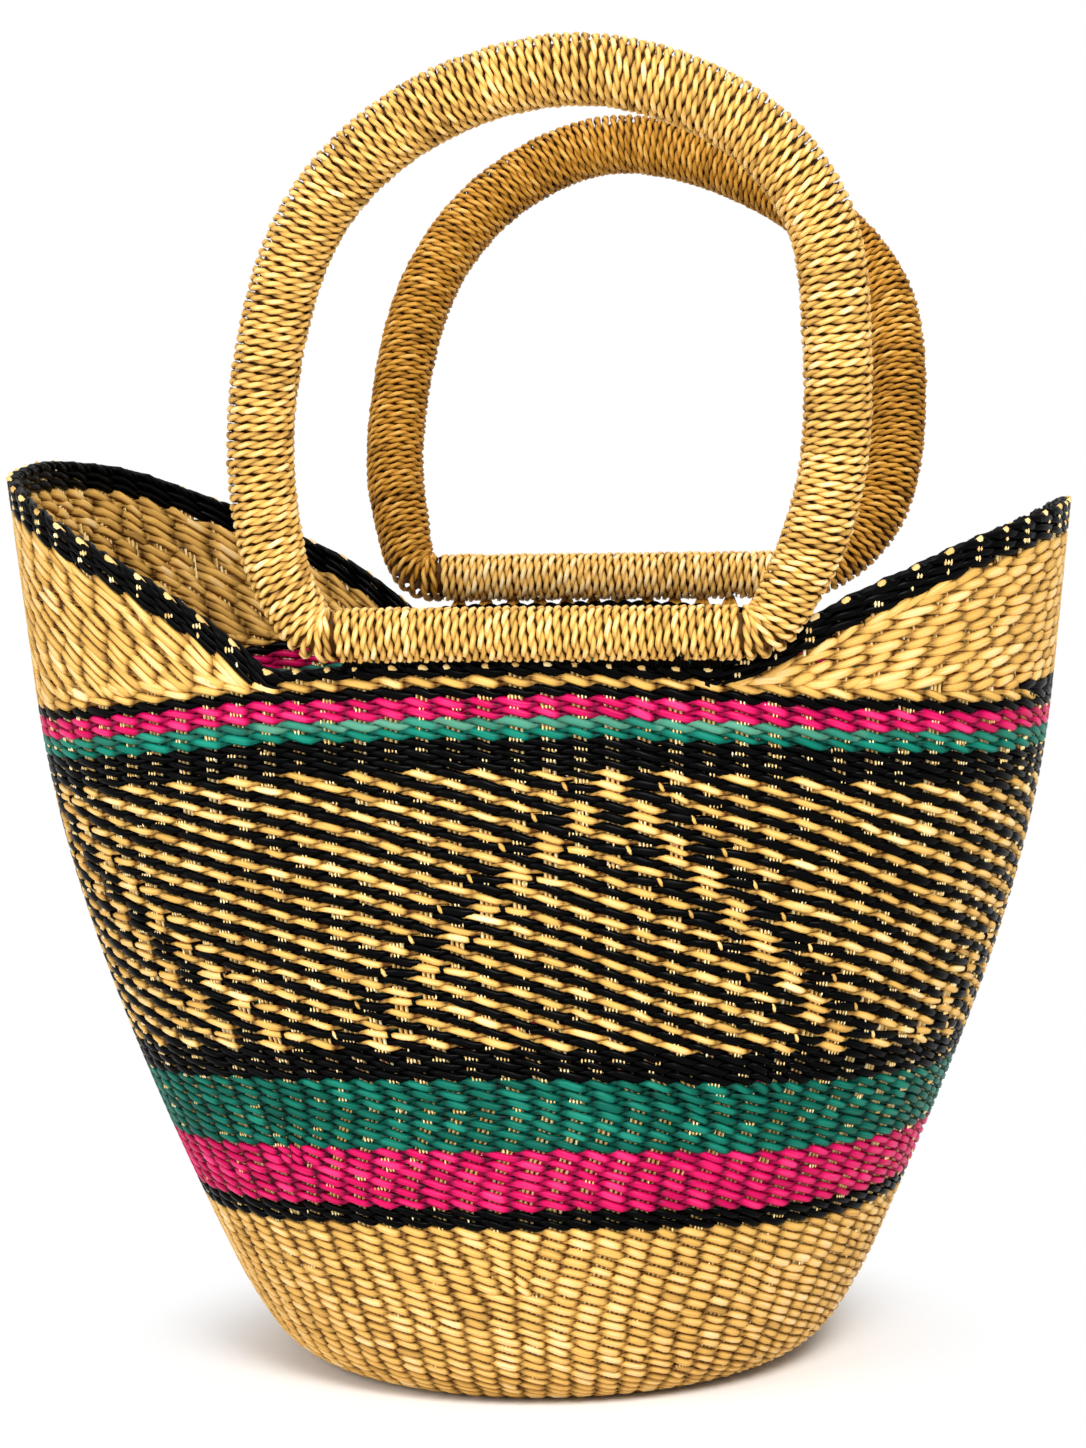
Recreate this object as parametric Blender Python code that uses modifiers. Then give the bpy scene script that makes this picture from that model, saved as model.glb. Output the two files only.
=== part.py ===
"""A bolga basket: a twined straw basket with a boat-shaped mouth and two wrapped straw handles.

Metres, +Z up. The origin is the middle of the underside, +X runs to the right wing of the mouth, and
the front is at -Y. The wall has three layers: upright stakes in the middle, with the twined weft on
their outer side and on their inner side. A place on the wall is a turn round the basket, from 0 to 1
and starting at +X, with a slant: the way along a stake from the edge of the flat base.
"""

import math

import bmesh
import bpy
import numpy as np
from mathutils import Matrix, Vector

# Clearances
GAP = 0.0003
TURNING_GAP = 0.0003

# Wall, along a stake and across it
BASE_RADIUS = 0.084
START_RADIUS = 0.0203
WALL_SLANT = 0.289
ROW_PITCH = 0.00375
STAKE_THICKNESS = 0.0012
STAKE_WIDTH = 0.006
STAKE_RING_HEIGHT = 0.0016
COURSE_THICKNESS = 0.0015
COURSE_GAP = 0.0007

# How far a stake leans out from upright, in degrees, at shares of the wall's slant
LEAN_SHARES = (0.0, 0.048, 0.104, 0.208, 0.381, 0.588, 0.796, 1.0)
END_LEANS = (90.0, 62.0, 34.0, 24.0, 23.0, 20.0, 14.0, 6.0)
SIDE_LEANS = (90.0, 52.0, 26.0, 16.0, 6.0, -1.5, -3.5, 2.0)
MOUTH_SQUARENESS_RATIO = 2.42
PROFILE_STEPS = 600

# Facets of the wall: whole columns of stakes, and shares of the slant
STAKES = 84
STAKES_PER_COLUMN = 3
COLUMNS = STAKES // STAKES_PER_COLUMN
STATION_SHARES = (0.0, 0.06, 0.18, 0.45, 0.727, 1.0)
STAKE_FILL_SHARE = 0.6
ADDED_PAIRS = 8
ADDED_START_SHARES = (0.0, 0.35, 0.18, 0.45)

# Rows of twining in each band, from the base up, with the band's colour as sRGB hex
BANDS = (
    ("lower_natural_band", 17, "E0B46A"),
    ("lower_black_line", 2, "16140F"),
    ("lower_pink_band", 6, "CE1A5C"),
    ("lower_green_band", 7, "176B55"),
    ("lower_black_band", 3, "16140F"),
    ("pattern_band", 27, "7A6238"),
    ("upper_black_band", 3, "16140F"),
    ("upper_green_band", 2, "1F7A63"),
    ("upper_pink_band", 2, "CE1A5C"),
    ("upper_black_row", 1, "16140F"),
    ("upper_natural_row", 1, "E0B46A"),
)
NATURAL = "E0B46A"
SHADED_NATURAL = "C9994F"
BLACK = "16140F"

# The bands' relief: one rib stands for a few rows of twining
ROWS_PER_RIB = 4
ROW_RELIEF = 0.0006

# Rim: each wing starts at a share of the mouth's half length and rises to its end, along a power of
# the way there. The left one peaks a little toward the back and the right one toward the front, by a
# share of a turn.
RIGHT_WING_START_SHARE = 0.45
RIGHT_WING_POWER_RATIO = 1.0
RIGHT_PEAK_TURN_SHARE = 0.012
LEFT_WING_START_SHARE = 0.4
LEFT_WING_POWER_RATIO = 0.85
LEFT_PEAK_TURN_SHARE = 0.008
RIGHT_WING_RISE = 0.0645
LEFT_WING_RISE = 0.083
BORDER_ROW = 0.00375
WING_BORDER_HEIGHT = 0.0105
WING_TIP_HEIGHT = 0.0008

# Start of the base: two crossing rafts of straw bundles, pressed side by side
RAFT_BUNDLES = 7
RAFT_STEPS = 4
RAFT_CLEARANCE = 0.0005
RAFT_RADIUS = START_RADIUS - RAFT_CLEARANCE
BUNDLE_CROWN = 0.0009

# Handles: closed hoops of bundled straw, each with a straight bar along the rim
HANDLE_SHIFT = 0.016
BAR_OUTSET = 0.003
BAR_CLEARANCE = 0.0018
BAR_CORE_RADIUS = 0.0072
LEG_CORE_RADIUS = 0.0096
TOP_CORE_RADIUS = 0.0104
WRAP_THICKNESS = 0.0019
WRAP_RELIEF = 0.0006
WRAP_GAP = 0.0004
HANDLE_HALF_WIDTH = 0.103
HANDLE_HEIGHT = 0.198
BAR_LEFT_SHARE = -0.72
BAR_RIGHT_SHARE = 0.69
BAR_END_RUN = 0.004
BAR_SEAM_SHARES = (0.27, 0.50, 0.85)
BACK_LEAN_DEGREES = 26.0
HOOP_POINTS = 28
HOOP_CROWDING_SHARE = 0.5
SWELL_POINTS = 4
HOOP_SIDES = 8
LASHING_THICKNESS = 0.002
LASHING_TOP_SHARE = 0.3
LASHING_FOOT_SHARE = 0.35

# Each hoop's middle line, from the bar's right end over the top to its left end, as shares of the
# half width and of the height
FRONT_HOOP_SHARES = (
    (0.87, 0.085),
    (1.00, 0.26),
    (1.03, 0.50),
    (0.97, 0.74),
    (0.70, 0.91),
    (0.20, 1.00),
    (-0.34, 0.94),
    (-0.75, 0.76),
    (-0.945, 0.47),
    (-0.955, 0.21),
    (-0.875, 0.065),
)
BACK_HOOP_SHARES = (
    (0.90, 0.04),
    (1.06, 0.16),
    (1.12, 0.42),
    (1.05, 0.65),
    (0.78, 0.83),
    (0.29, 0.98),
    (-0.14, 1.01),
    (-0.55, 0.90),
    (-0.82, 0.70),
    (-0.935, 0.40),
    (-0.91, 0.16),
)


def clear_scene():
    for item in list(bpy.data.objects):
        bpy.data.objects.remove(item, do_unlink=True)


def linear(hex_colour):
    """The linear colour of an sRGB hex value."""
    parts = [int(hex_colour[i : i + 2], 16) / 255 for i in (0, 2, 4)]
    return [p / 12.92 if p <= 0.04045 else ((p + 0.055) / 1.055) ** 2.4 for p in parts]


def straw(name, hex_colour, roughness):
    """One dyed or plain straw material."""
    material = bpy.data.materials.new(name)
    material.use_nodes = True
    shader = material.node_tree.nodes["Principled BSDF"]
    shader.inputs["Base Color"].default_value = (*linear(hex_colour), 1.0)
    shader.inputs["Roughness"].default_value = roughness
    shader.inputs["Metallic"].default_value = 0.0
    return material


def finish(item, collection, hex_colour, roughness=0.5):
    """Puts an object in the basket's collection with its own straw material."""
    for other in item.users_collection:
        other.objects.unlink(item)
    collection.objects.link(item)
    item.data.materials.clear()
    item.data.materials.append(straw(item.name + "_straw", hex_colour, roughness))


def profile(leans):
    """Radius and height of a stake's middle line at even steps of slant, from the start ring up."""
    first = START_RADIUS - BASE_RADIUS
    slants = np.linspace(first, WALL_SLANT, PROFILE_STEPS)
    lean = np.radians(np.interp(slants, np.array(LEAN_SHARES) * WALL_SLANT, leans))
    middle = (lean[1:] + lean[:-1]) / 2
    steps = np.diff(slants)
    radius = START_RADIUS + np.append(0.0, np.cumsum(np.sin(middle) * steps))
    height = np.append(0.0, np.cumsum(np.cos(middle) * steps))
    return slants, radius, height


END_PROFILE = profile(END_LEANS)
SIDE_PROFILE = profile(SIDE_LEANS)


def profile_at(table, slant):
    """Radius and height at a slant. Past the top row the stake runs on straight."""
    slants, radius, height = table
    inside = min(slant, WALL_SLANT)
    past = slant - inside
    rise = (height[-1] - height[-2]) / (slants[-1] - slants[-2])
    spread = (radius[-1] - radius[-2]) / (slants[-1] - slants[-2])
    return (
        float(np.interp(inside, slants, radius)) + past * spread,
        float(np.interp(inside, slants, height)) + past * rise,
    )


def even_mouth_angles():
    """Plan angles that space the mouth's stakes evenly along its rim, as a table over a turn."""
    angles = np.linspace(0.0, 2 * math.pi, PROFILE_STEPS * 2 + 1)
    power = 2 / MOUTH_SQUARENESS_RATIO
    across = np.sign(np.cos(angles)) * np.abs(np.cos(angles)) ** power * END_PROFILE[1][-1]
    along = np.sign(np.sin(angles)) * np.abs(np.sin(angles)) ** power * SIDE_PROFILE[1][-1]
    arc = np.append(0.0, np.cumsum(np.hypot(np.diff(across), np.diff(along))))
    return arc / arc[-1], angles


MOUTH_TURNS, MOUTH_ANGLES = even_mouth_angles()


def ovalness(slant):
    """0 on the round base, rising to 1 at the mouth."""
    return min(max(slant / WALL_SLANT, 0.0), 1.0)


def plan_shares(turn, slant):
    """Where a turn lies in plan, as shares of the half length and of the half width."""
    turn = turn % 1.0
    oval = ovalness(slant)
    angle = (1 - oval) * turn * 2 * math.pi + oval * float(np.interp(turn, MOUTH_TURNS, MOUTH_ANGLES))
    power = 2 / (2 + (MOUTH_SQUARENESS_RATIO - 2) * oval)
    along = math.copysign(abs(math.cos(angle)) ** power, math.cos(angle))
    across = math.copysign(abs(math.sin(angle)) ** power, math.sin(angle))
    return along, across


def smooth_point(turn, slant):
    """A point of the wall's middle surface."""
    along, across = plan_shares(turn, slant)
    end_radius, end_height = profile_at(END_PROFILE, slant)
    side_radius, side_height = profile_at(SIDE_PROFILE, slant)
    height = side_height + (end_height - side_height) * along**2
    return Vector((end_radius * along, side_radius * across, height))


WALL_HALF = STAKE_THICKNESS / 2 + COURSE_GAP + COURSE_THICKNESS
COURSE_OFFSET = STAKE_THICKNESS / 2 + COURSE_GAP + COURSE_THICKNESS / 2
STATIONS = [START_RADIUS - BASE_RADIUS] + [share * WALL_SLANT for share in STATION_SHARES]
TOP_STATION = WALL_SLANT + LEFT_WING_RISE
NUDGE_SHARE = 0.004


def wall_normal(turn, slant):
    """The outward direction of the wall's middle surface."""
    step = NUDGE_SHARE * WALL_SLANT
    round_it = smooth_point(turn + NUDGE_SHARE, slant) - smooth_point(turn - NUDGE_SHARE, slant)
    up_it = smooth_point(turn, slant + step) - smooth_point(turn, slant - step)
    return round_it.cross(up_it).normalized()


def station_normal(turn, slant):
    """The flat base's underside looks straight down, so that the basket stands on it."""
    if slant <= 0.0:
        return Vector((0.0, 0.0, -1.0))
    return wall_normal(turn, slant)


def facet_grid():
    """The middle surface's points and normals at every column and station."""
    levels = STATIONS + [TOP_STATION]
    turns = [column / COLUMNS for column in range(COLUMNS)]
    points = [[smooth_point(turn, slant) for turn in turns] for slant in levels]
    normals = [[station_normal(turn, slant) for turn in turns] for slant in levels]
    return levels, points, normals


LEVELS, GRID, NORMALS = facet_grid()


def on_facets(turn, slant, offset):
    """A point of the faceted wall, moved out from its middle surface by an offset."""
    place = (turn % 1.0) * COLUMNS
    column = int(place) % COLUMNS
    share = place - int(place)
    level = 0
    while level < len(LEVELS) - 2 and slant > LEVELS[level + 1]:
        level += 1
    lift = (slant - LEVELS[level]) / (LEVELS[level + 1] - LEVELS[level])
    following = (column + 1) % COLUMNS
    total = Vector((0.0, 0.0, WALL_HALF))
    for row, row_weight in ((level, 1 - lift), (level + 1, lift)):
        for corner, weight in ((column, 1 - share), (following, share)):
            moved = GRID[row][corner] + NORMALS[row][corner] * offset
            total += moved * (row_weight * weight)
    return total


def wing_rise(turn):
    """How far the rim stands above its lowest stretch at a turn, along the stakes."""
    along, _ = plan_shares(turn + RIGHT_PEAK_TURN_SHARE, WALL_SLANT)
    rise, start, power = RIGHT_WING_RISE, RIGHT_WING_START_SHARE, RIGHT_WING_POWER_RATIO
    if along < 0:
        along, _ = plan_shares(turn + LEFT_PEAK_TURN_SHARE, WALL_SLANT)
        rise, start, power = LEFT_WING_RISE, LEFT_WING_START_SHARE, LEFT_WING_POWER_RATIO
    return rise * (max(abs(along) - start, 0.0) / (1 - start)) ** power


def column_value(turn, value):
    """A value that runs straight between the columns, as the facets do."""
    place = (turn % 1.0) * COLUMNS
    share = place - int(place)
    first = value(int(place) / COLUMNS)
    return first + (value((int(place) + 1) / COLUMNS) - first) * share


def rim_slant(turn):
    return WALL_SLANT + GAP + BORDER_ROW + wing_rise(turn)


def weave_slant(turn):
    """Top of the weft under the border, which is one row high at the bars and taller on the wings."""
    return max(WALL_SLANT, rim_slant(turn) - GAP - WING_BORDER_HEIGHT)


def mesh_object(name, mesh_data):
    mesh = bpy.data.meshes.new(name)
    mesh_data.to_mesh(mesh)
    mesh_data.free()
    item = bpy.data.objects.new(name, mesh)
    bpy.context.scene.collection.objects.link(item)
    return item


def thicken(item, thickness):
    """Makes solids of the object's open sheets, half the thickness to each side."""
    shell = item.modifiers.new("thickness", "SOLIDIFY")
    shell.thickness = thickness
    shell.offset = 0.0
    shell.use_even_offset = True


def add_strip(sheet, ribs):
    """Adds an open sheet through ribs, which are lists of corners from the low edge up."""
    for before, after in zip(ribs, ribs[1:]):
        for i in range(len(before) - 1):
            sheet.faces.new((before[i], after[i], after[i + 1], before[i + 1]))


def stations_between(low, high):
    return [low] + [slant for slant in LEVELS if low < slant < high] + [high]


def seam_turn(slant):
    """How far a row's start stays from the crossing where the row's two courses join."""
    column_width = (on_facets(1 / COLUMNS, slant, 0.0) - on_facets(0.0, slant, 0.0)).length
    return (COURSE_THICKNESS / 2 + 2 * GAP) / column_width / COLUMNS


def course_places(low, high, rows):
    """Slants up a band, each with how far the courses bulge there: out on a rib, in between ribs."""
    ribs = rows // ROWS_PER_RIB
    slants = stations_between(low, high)
    for half in range(1, 2 * ribs):
        place = low + (high - low) * half / (2 * ribs)
        if min(abs(place - slant) for slant in slants) > ROW_PITCH / 2:
            slants.append(place)
    if ribs == 0:
        return [(slant, 0.0) for slant in slants]
    places = []
    for slant in sorted(slants):
        share = (slant - low) / (high - low) * ribs % 1.0
        places.append((slant, ROW_RELIEF * (1 / 2 - 2 * abs(share - 1 / 2))))
    return places


def ring_band(name, low, high, rows, collection, hex_colour):
    """A band of twining. It runs round outside the stakes, crosses between two of them at the seam,
    and runs round inside them."""
    sheet = bmesh.new()
    places = course_places(low, high, rows)

    def course(turn_at, side):
        return [on_facets(turn_at(slant), slant, side * (COURSE_OFFSET + bulge)) for slant, bulge in places]

    columns = [column / COLUMNS for column in range(COLUMNS + 1)]
    outer = [course(lambda slant, turn=turn: turn, 1) for turn in columns]
    inner = [course(lambda slant, turn=turn: turn, -1) for turn in columns]
    outer[0] = course(seam_turn, 1)
    inner[-1] = course(lambda slant: -seam_turn(slant), -1)
    add_strip(sheet, [[sheet.verts.new(point) for point in rib] for rib in outer + inner])
    item = mesh_object(name, sheet)
    thicken(item, COURSE_THICKNESS)
    finish(item, collection, hex_colour)


def weft_bands(collection):
    """The base's rounds, then every band up the wall."""
    rows = sum(band[1] for band in BANDS)
    low = WALL_SLANT - rows * ROW_PITCH
    ring_band("base_weft", LEVELS[0], low - GAP, 0, collection, NATURAL)
    for name, count, hex_colour in BANDS:
        high = low + count * ROW_PITCH
        ring_band(name, low, high - GAP, count, collection, hex_colour)
        low = high


def wing_top(turn):
    return column_value(turn, weave_slant)


def wing(name, middle, collection):
    """The short rows that fill a raised end of the mouth. They turn back between two stakes."""
    tips = []
    for way in (-1, 1):
        tip = middle
        while wing_top((tip + way) / STAKES) > WALL_SLANT + WING_TIP_HEIGHT:
            tip += way
        tips.append(tip)
    edges = [step for step in range(tips[0] + 1, tips[1]) if step % STAKES_PER_COLUMN == 0]
    turns = [step / STAKES for step in (tips[0], *edges, tips[1])]
    sheet = bmesh.new()
    ribs = []
    for offset, order in ((COURSE_OFFSET, turns), (-COURSE_OFFSET, turns[::-1])):
        for turn in order:
            ends = (WALL_SLANT, wing_top(turn))
            ribs.append([sheet.verts.new(on_facets(turn, slant, offset)) for slant in ends])
    add_strip(sheet, ribs)
    item = mesh_object(name, sheet)
    thicken(item, COURSE_THICKNESS)
    finish(item, collection, NATURAL)


def rim_border(collection):
    """The black plaited border that closes the mouth, a channel over the stakes' bent ends."""
    sheet = bmesh.new()
    ribs = []
    for column in range(COLUMNS):
        turn = column / COLUMNS
        foot = weave_slant(turn) + 2 * GAP
        top = rim_slant(turn) - COURSE_THICKNESS / 2
        places = ((foot, 1), (top, 1), (top, -1), (foot, -1))
        ribs.append(
            [sheet.verts.new(on_facets(turn, slant, side * COURSE_OFFSET)) for slant, side in places]
        )
    add_strip(sheet, ribs + ribs[:1])
    item = mesh_object("rim_border", sheet)
    thicken(item, COURSE_THICKNESS)
    finish(item, collection, BLACK)


def stake_turn(index):
    """Stakes stand in the middle thirds of their facets, clear of the facets' edges."""
    return (index + 0.5) / STAKES


def stake_start(index):
    """Where a stake starts: at the start ring, or higher up for the stakes that are added later. They
    are added in pairs, one on each side of a facet's edge, also beside the seam."""
    edge = round(index / STAKES_PER_COLUMN)
    pair = round(edge * ADDED_PAIRS / COLUMNS)
    beside_edge = index % STAKES_PER_COLUMN != STAKES_PER_COLUMN // 2
    if beside_edge and round(pair * COLUMNS / ADDED_PAIRS) == edge:
        return ADDED_START_SHARES[pair % len(ADDED_START_SHARES)] * WALL_SLANT
    return LEVELS[0]


def stake_half_turn(turn, slant):
    """Half a stake's width as part of a turn. Near the start ring the stakes are packed narrower."""
    spacing = (on_facets(turn + 1 / STAKES, slant, 0.0) - on_facets(turn, slant, 0.0)).length
    width = min(STAKE_WIDTH, spacing * STAKE_FILL_SHARE)
    return width / spacing / STAKES / 2


def ring_slants(turn):
    """Low and high edge of the ring of bent stake ends inside the border."""
    high = column_value(turn, rim_slant) - COURSE_THICKNESS - GAP
    return high - STAKE_RING_HEIGHT, high


def stakes(collection):
    """The upright bundles of straw that the weft is twined round, each a flat ribbon. Inside the
    border their ends are bent along the rim, each under the next, which joins them in a ring."""
    sheet = bmesh.new()
    ring = []
    for index in range(STAKES):
        turn = stake_turn(index)
        if index % STAKES_PER_COLUMN == 0:
            ridge = index / STAKES
            ring.append([sheet.verts.new(on_facets(ridge, s, 0.0)) for s in ring_slants(ridge)])
        slants = stations_between(stake_start(index) + GAP, ring_slants(turn)[0])
        edges = []
        for side in (-1, 1):
            rib = []
            for slant in slants:
                edge = turn + side * stake_half_turn(turn, slant)
                height = slant if slant < slants[-1] else ring_slants(edge)[0]
                rib.append(sheet.verts.new(on_facets(edge, height, 0.0)))
            edges.append(rib)
            top = turn + side * stake_half_turn(turn, slants[-1])
            ring.append([rib[-1], sheet.verts.new(on_facets(top, ring_slants(top)[1], 0.0))])
        add_strip(sheet, edges)
    add_strip(sheet, ring + ring[:1])
    item = mesh_object("stakes", sheet)
    thicken(item, STAKE_THICKNESS)
    finish(item, collection, NATURAL)


def base_rafts(collection, cutters):
    """The crossing straw bundles that the base is started from, one raft on the other."""
    disc = bmesh.new()
    bmesh.ops.create_cone(
        disc,
        cap_ends=True,
        segments=COLUMNS,
        radius1=RAFT_RADIUS,
        radius2=RAFT_RADIUS,
        depth=WALL_HALF * 4,
    )
    round_cutter = mesh_object("raft_outline", disc)
    cutters.objects.link(round_cutter)
    bpy.context.scene.collection.objects.unlink(round_cutter)
    round_cutter.hide_render = True
    round_cutter.display_type = "WIRE"
    for name, level, turned in (("base_start_under", 0, 0), ("base_start_over", 1, 1)):
        raft = bmesh.new()
        steps = RAFT_BUNDLES * RAFT_STEPS
        half = RAFT_RADIUS + GAP
        bmesh.ops.create_grid(raft, x_segments=1, y_segments=steps, size=half)
        for corner in raft.verts:
            across = (corner.co.y / half + 1) * RAFT_BUNDLES / 2
            crown = BUNDLE_CROWN * abs(math.sin(math.pi * across))
            corner.co.z = WALL_HALF - GAP / 2 - BUNDLE_CROWN + crown
        below = bmesh.ops.extrude_face_region(raft, geom=raft.faces[:])["geom"]
        for corner in below:
            if isinstance(corner, bmesh.types.BMVert):
                corner.co.z = 0.0
        bmesh.ops.recalc_face_normals(raft, faces=raft.faces[:])
        item = mesh_object(name, raft)
        item.location.z = level * (WALL_HALF + GAP / 2)
        item.rotation_euler.z = turned * math.pi / 2
        cut = item.modifiers.new("round", "BOOLEAN")
        cut.operation = "INTERSECT"
        cut.object = round_cutter
        finish(item, collection, NATURAL)


def bar_place(front):
    """The middle of a handle's bar, above the rim's lowest stretch and a little outside it."""
    turn = 0.75 if front else 0.25
    rim = on_facets(turn, rim_slant(turn), 0.0)
    outset = -BAR_OUTSET if front else BAR_OUTSET
    lift = BAR_CLEARANCE + BAR_CORE_RADIUS + WRAP_GAP + WRAP_THICKNESS
    return Vector((HANDLE_SHIFT, rim.y + outset, rim.z + lift))


def smooth_through(points, count):
    """Points on a smooth curve through the given points. The curve starts along +X and ends along it
    too, and its points lie closer together near both ends, where it bends most."""
    at = np.array(points)
    chords = np.hypot(*np.diff(at, axis=0).T) ** 0.5
    knots = np.append(0.0, np.cumsum(chords))
    slopes = np.gradient(at, knots, axis=0, edge_order=1)
    slopes[0] = (knots[1] - knots[0]) ** -1 * np.array([np.linalg.norm(at[1] - at[0]), 0.0])
    slopes[-1] = (knots[-1] - knots[-2]) ** -1 * np.array([np.linalg.norm(at[-1] - at[-2]), 0.0])
    fine = np.linspace(0.0, knots[-1], PROFILE_STEPS)
    piece = np.clip(np.searchsorted(knots, fine, side="right") - 1, 0, len(knots) - 2)
    width = knots[piece + 1] - knots[piece]
    s = ((fine - knots[piece]) / width)[:, None]
    width = width[:, None]
    curve = (
        (2 * s**3 - 3 * s**2 + 1) * at[piece]
        + (s**3 - 2 * s**2 + s) * width * slopes[piece]
        + (3 * s**2 - 2 * s**3) * at[piece + 1]
        + (s**3 - s**2) * width * slopes[piece + 1]
    )
    arc = np.append(0.0, np.cumsum(np.hypot(*np.diff(curve, axis=0).T)))
    share = np.linspace(0.0, 1.0, count)
    share -= HOOP_CROWDING_SHARE * np.sin(2 * math.pi * share) / (2 * math.pi)
    places = share * arc[-1]
    return list(zip(np.interp(places, arc, curve[:, 0]), np.interp(places, arc, curve[:, 1])))


def hoop_line(shares):
    """The hoop's middle line beyond its bar, in the hoop's own plane, from the bar's right end."""
    points = [(across * HANDLE_HALF_WIDTH, up * HANDLE_HEIGHT) for across, up in shares]
    start = (BAR_RIGHT_SHARE * HANDLE_HALF_WIDTH + BAR_END_RUN, 0.0)
    end = (BAR_LEFT_SHARE * HANDLE_HALF_WIDTH - BAR_END_RUN, 0.0)
    return smooth_through([start] + points + [end], HOOP_POINTS)


def core_radii():
    """The hoop's radius at each point: slim in the bar, fuller on the legs and fullest at the top."""
    last = HOOP_POINTS - 1
    from_ends = [min(i, last - i) for i in range(HOOP_POINTS)]
    radii = (BAR_CORE_RADIUS, LEG_CORE_RADIUS, TOP_CORE_RADIUS)
    return [float(np.interp(i, (0, SWELL_POINTS, last / 2), radii)) for i in from_ends]


def tube(name, points, radii, closed):
    """A tube along points in the plane Y = 0, as a mesh object."""
    curve = bpy.data.curves.new(name, "CURVE")
    curve.dimensions = "3D"
    curve.bevel_depth = 1.0
    curve.bevel_resolution = HOOP_SIDES // 2 - 2
    curve.use_fill_caps = False
    spline = curve.splines.new("POLY")
    spline.points.add(len(points) - 1)
    spline.use_cyclic_u = closed
    for point, (across, up), radius in zip(spline.points, points, radii):
        point.co = (across, 0.0, up, 1.0)
        point.radius = radius
    guide = bpy.data.objects.new(name + "_guide", curve)
    bpy.context.scene.collection.objects.link(guide)
    bpy.context.view_layer.update()
    evaluated = guide.evaluated_get(bpy.context.evaluated_depsgraph_get())
    mesh = bpy.data.meshes.new_from_object(evaluated)
    bpy.data.objects.remove(guide, do_unlink=True)
    mesh.name = name
    item = bpy.data.objects.new(name, mesh)
    bpy.context.scene.collection.objects.link(item)
    mesh.shade_smooth()
    return item


def place_hoop_piece(item, front):
    """Stands a hoop's piece on its bar's axis, leaning as the handle rests."""
    item.location = bar_place(front)
    item.rotation_euler = (0.0 if front else -math.radians(BACK_LEAN_DEGREES), 0.0, 0.0)


def handle_core(name, front, line, collection):
    """The bundled straw hoop that the cord is wound on, one closed ring."""
    item = tube(name, line, core_radii(), closed=True)
    place_hoop_piece(item, front)
    finish(item, collection, SHADED_NATURAL)


def arch_wrap(name, front, line, collection):
    """The cord wound close round the hoop's legs and arch, as a hollow sleeve between the bar's ends.
    Its ribs stand for some turns each, and lie halfway between the core's own corners."""
    run = BAR_END_RUN - GAP
    core = core_radii()
    middle = WRAP_GAP + (WRAP_THICKNESS - WRAP_RELIEF) / 2
    points = [(line[0][0] - run, 0.0)]
    radii = [core[0] + middle]
    for number, (point, radius) in enumerate(zip(line, core)):
        if number > 0:
            before = line[number - 1]
            points.append(((before[0] + point[0]) / 2, (before[1] + point[1]) / 2))
            radii.append((core[number - 1] + radius) / 2 + middle + WRAP_RELIEF)
        points.append(point)
        radii.append(radius + middle)
    points.append((line[-1][0] + run, 0.0))
    radii.append(core[-1] + middle)
    item = tube(name, points, radii, closed=False)
    thicken(item, WRAP_THICKNESS - WRAP_RELIEF)
    place_hoop_piece(item, front)
    finish(item, collection, NATURAL if front else SHADED_NATURAL)


SIDES_CORNER = 1 / math.cos(math.pi / HOOP_SIDES)
BAR_WRAP_RADIUS = (BAR_CORE_RADIUS + TURNING_GAP + WRAP_THICKNESS) * SIDES_CORNER


def bar_wraps(name, front, collection):
    """The cord wound round the bar, in lengths that stay on the basket while the hoop turns."""
    left = BAR_LEFT_SHARE * HANDLE_HALF_WIDTH
    length = (BAR_RIGHT_SHARE - BAR_LEFT_SHARE) * HANDLE_HALF_WIDTH
    shares = (0.0, *BAR_SEAM_SHARES, 1.0)
    radius = (BAR_CORE_RADIUS + TURNING_GAP + WRAP_THICKNESS / 2) * SIDES_CORNER
    for number, (low, high) in enumerate(zip(shares, shares[1:]), start=1):
        sleeve = bmesh.new()
        bmesh.ops.create_cone(
            sleeve,
            cap_ends=False,
            segments=HOOP_SIDES,
            radius1=radius,
            radius2=radius,
            depth=(high - low) * length - GAP,
            matrix=Matrix.Rotation(math.pi / 2, 4, "Y"),
        )
        item = mesh_object(f"{name}_{number}", sleeve)
        thicken(item, WRAP_THICKNESS)
        item.location = bar_place(front) + Vector((left + (low + high) / 2 * length, 0.0, 0.0))
        finish(item, collection, NATURAL if front else SHADED_NATURAL)


def under_bar(turn, front):
    """Whether a stake comes up under a bar's wrap, where the rim is still low."""
    rises = [column_value(turn + side / STAKES, wing_rise) for side in (-1, 1)]
    if (turn % 1.0 > 1 / 2) != front or max(rises) > BAR_CLEARANCE / 2:
        return False
    across = on_facets(turn, rim_slant(turn), 0.0).x - HANDLE_SHIFT
    return BAR_LEFT_SHARE * HANDLE_HALF_WIDTH < across < BAR_RIGHT_SHARE * HANDLE_HALF_WIDTH


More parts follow.
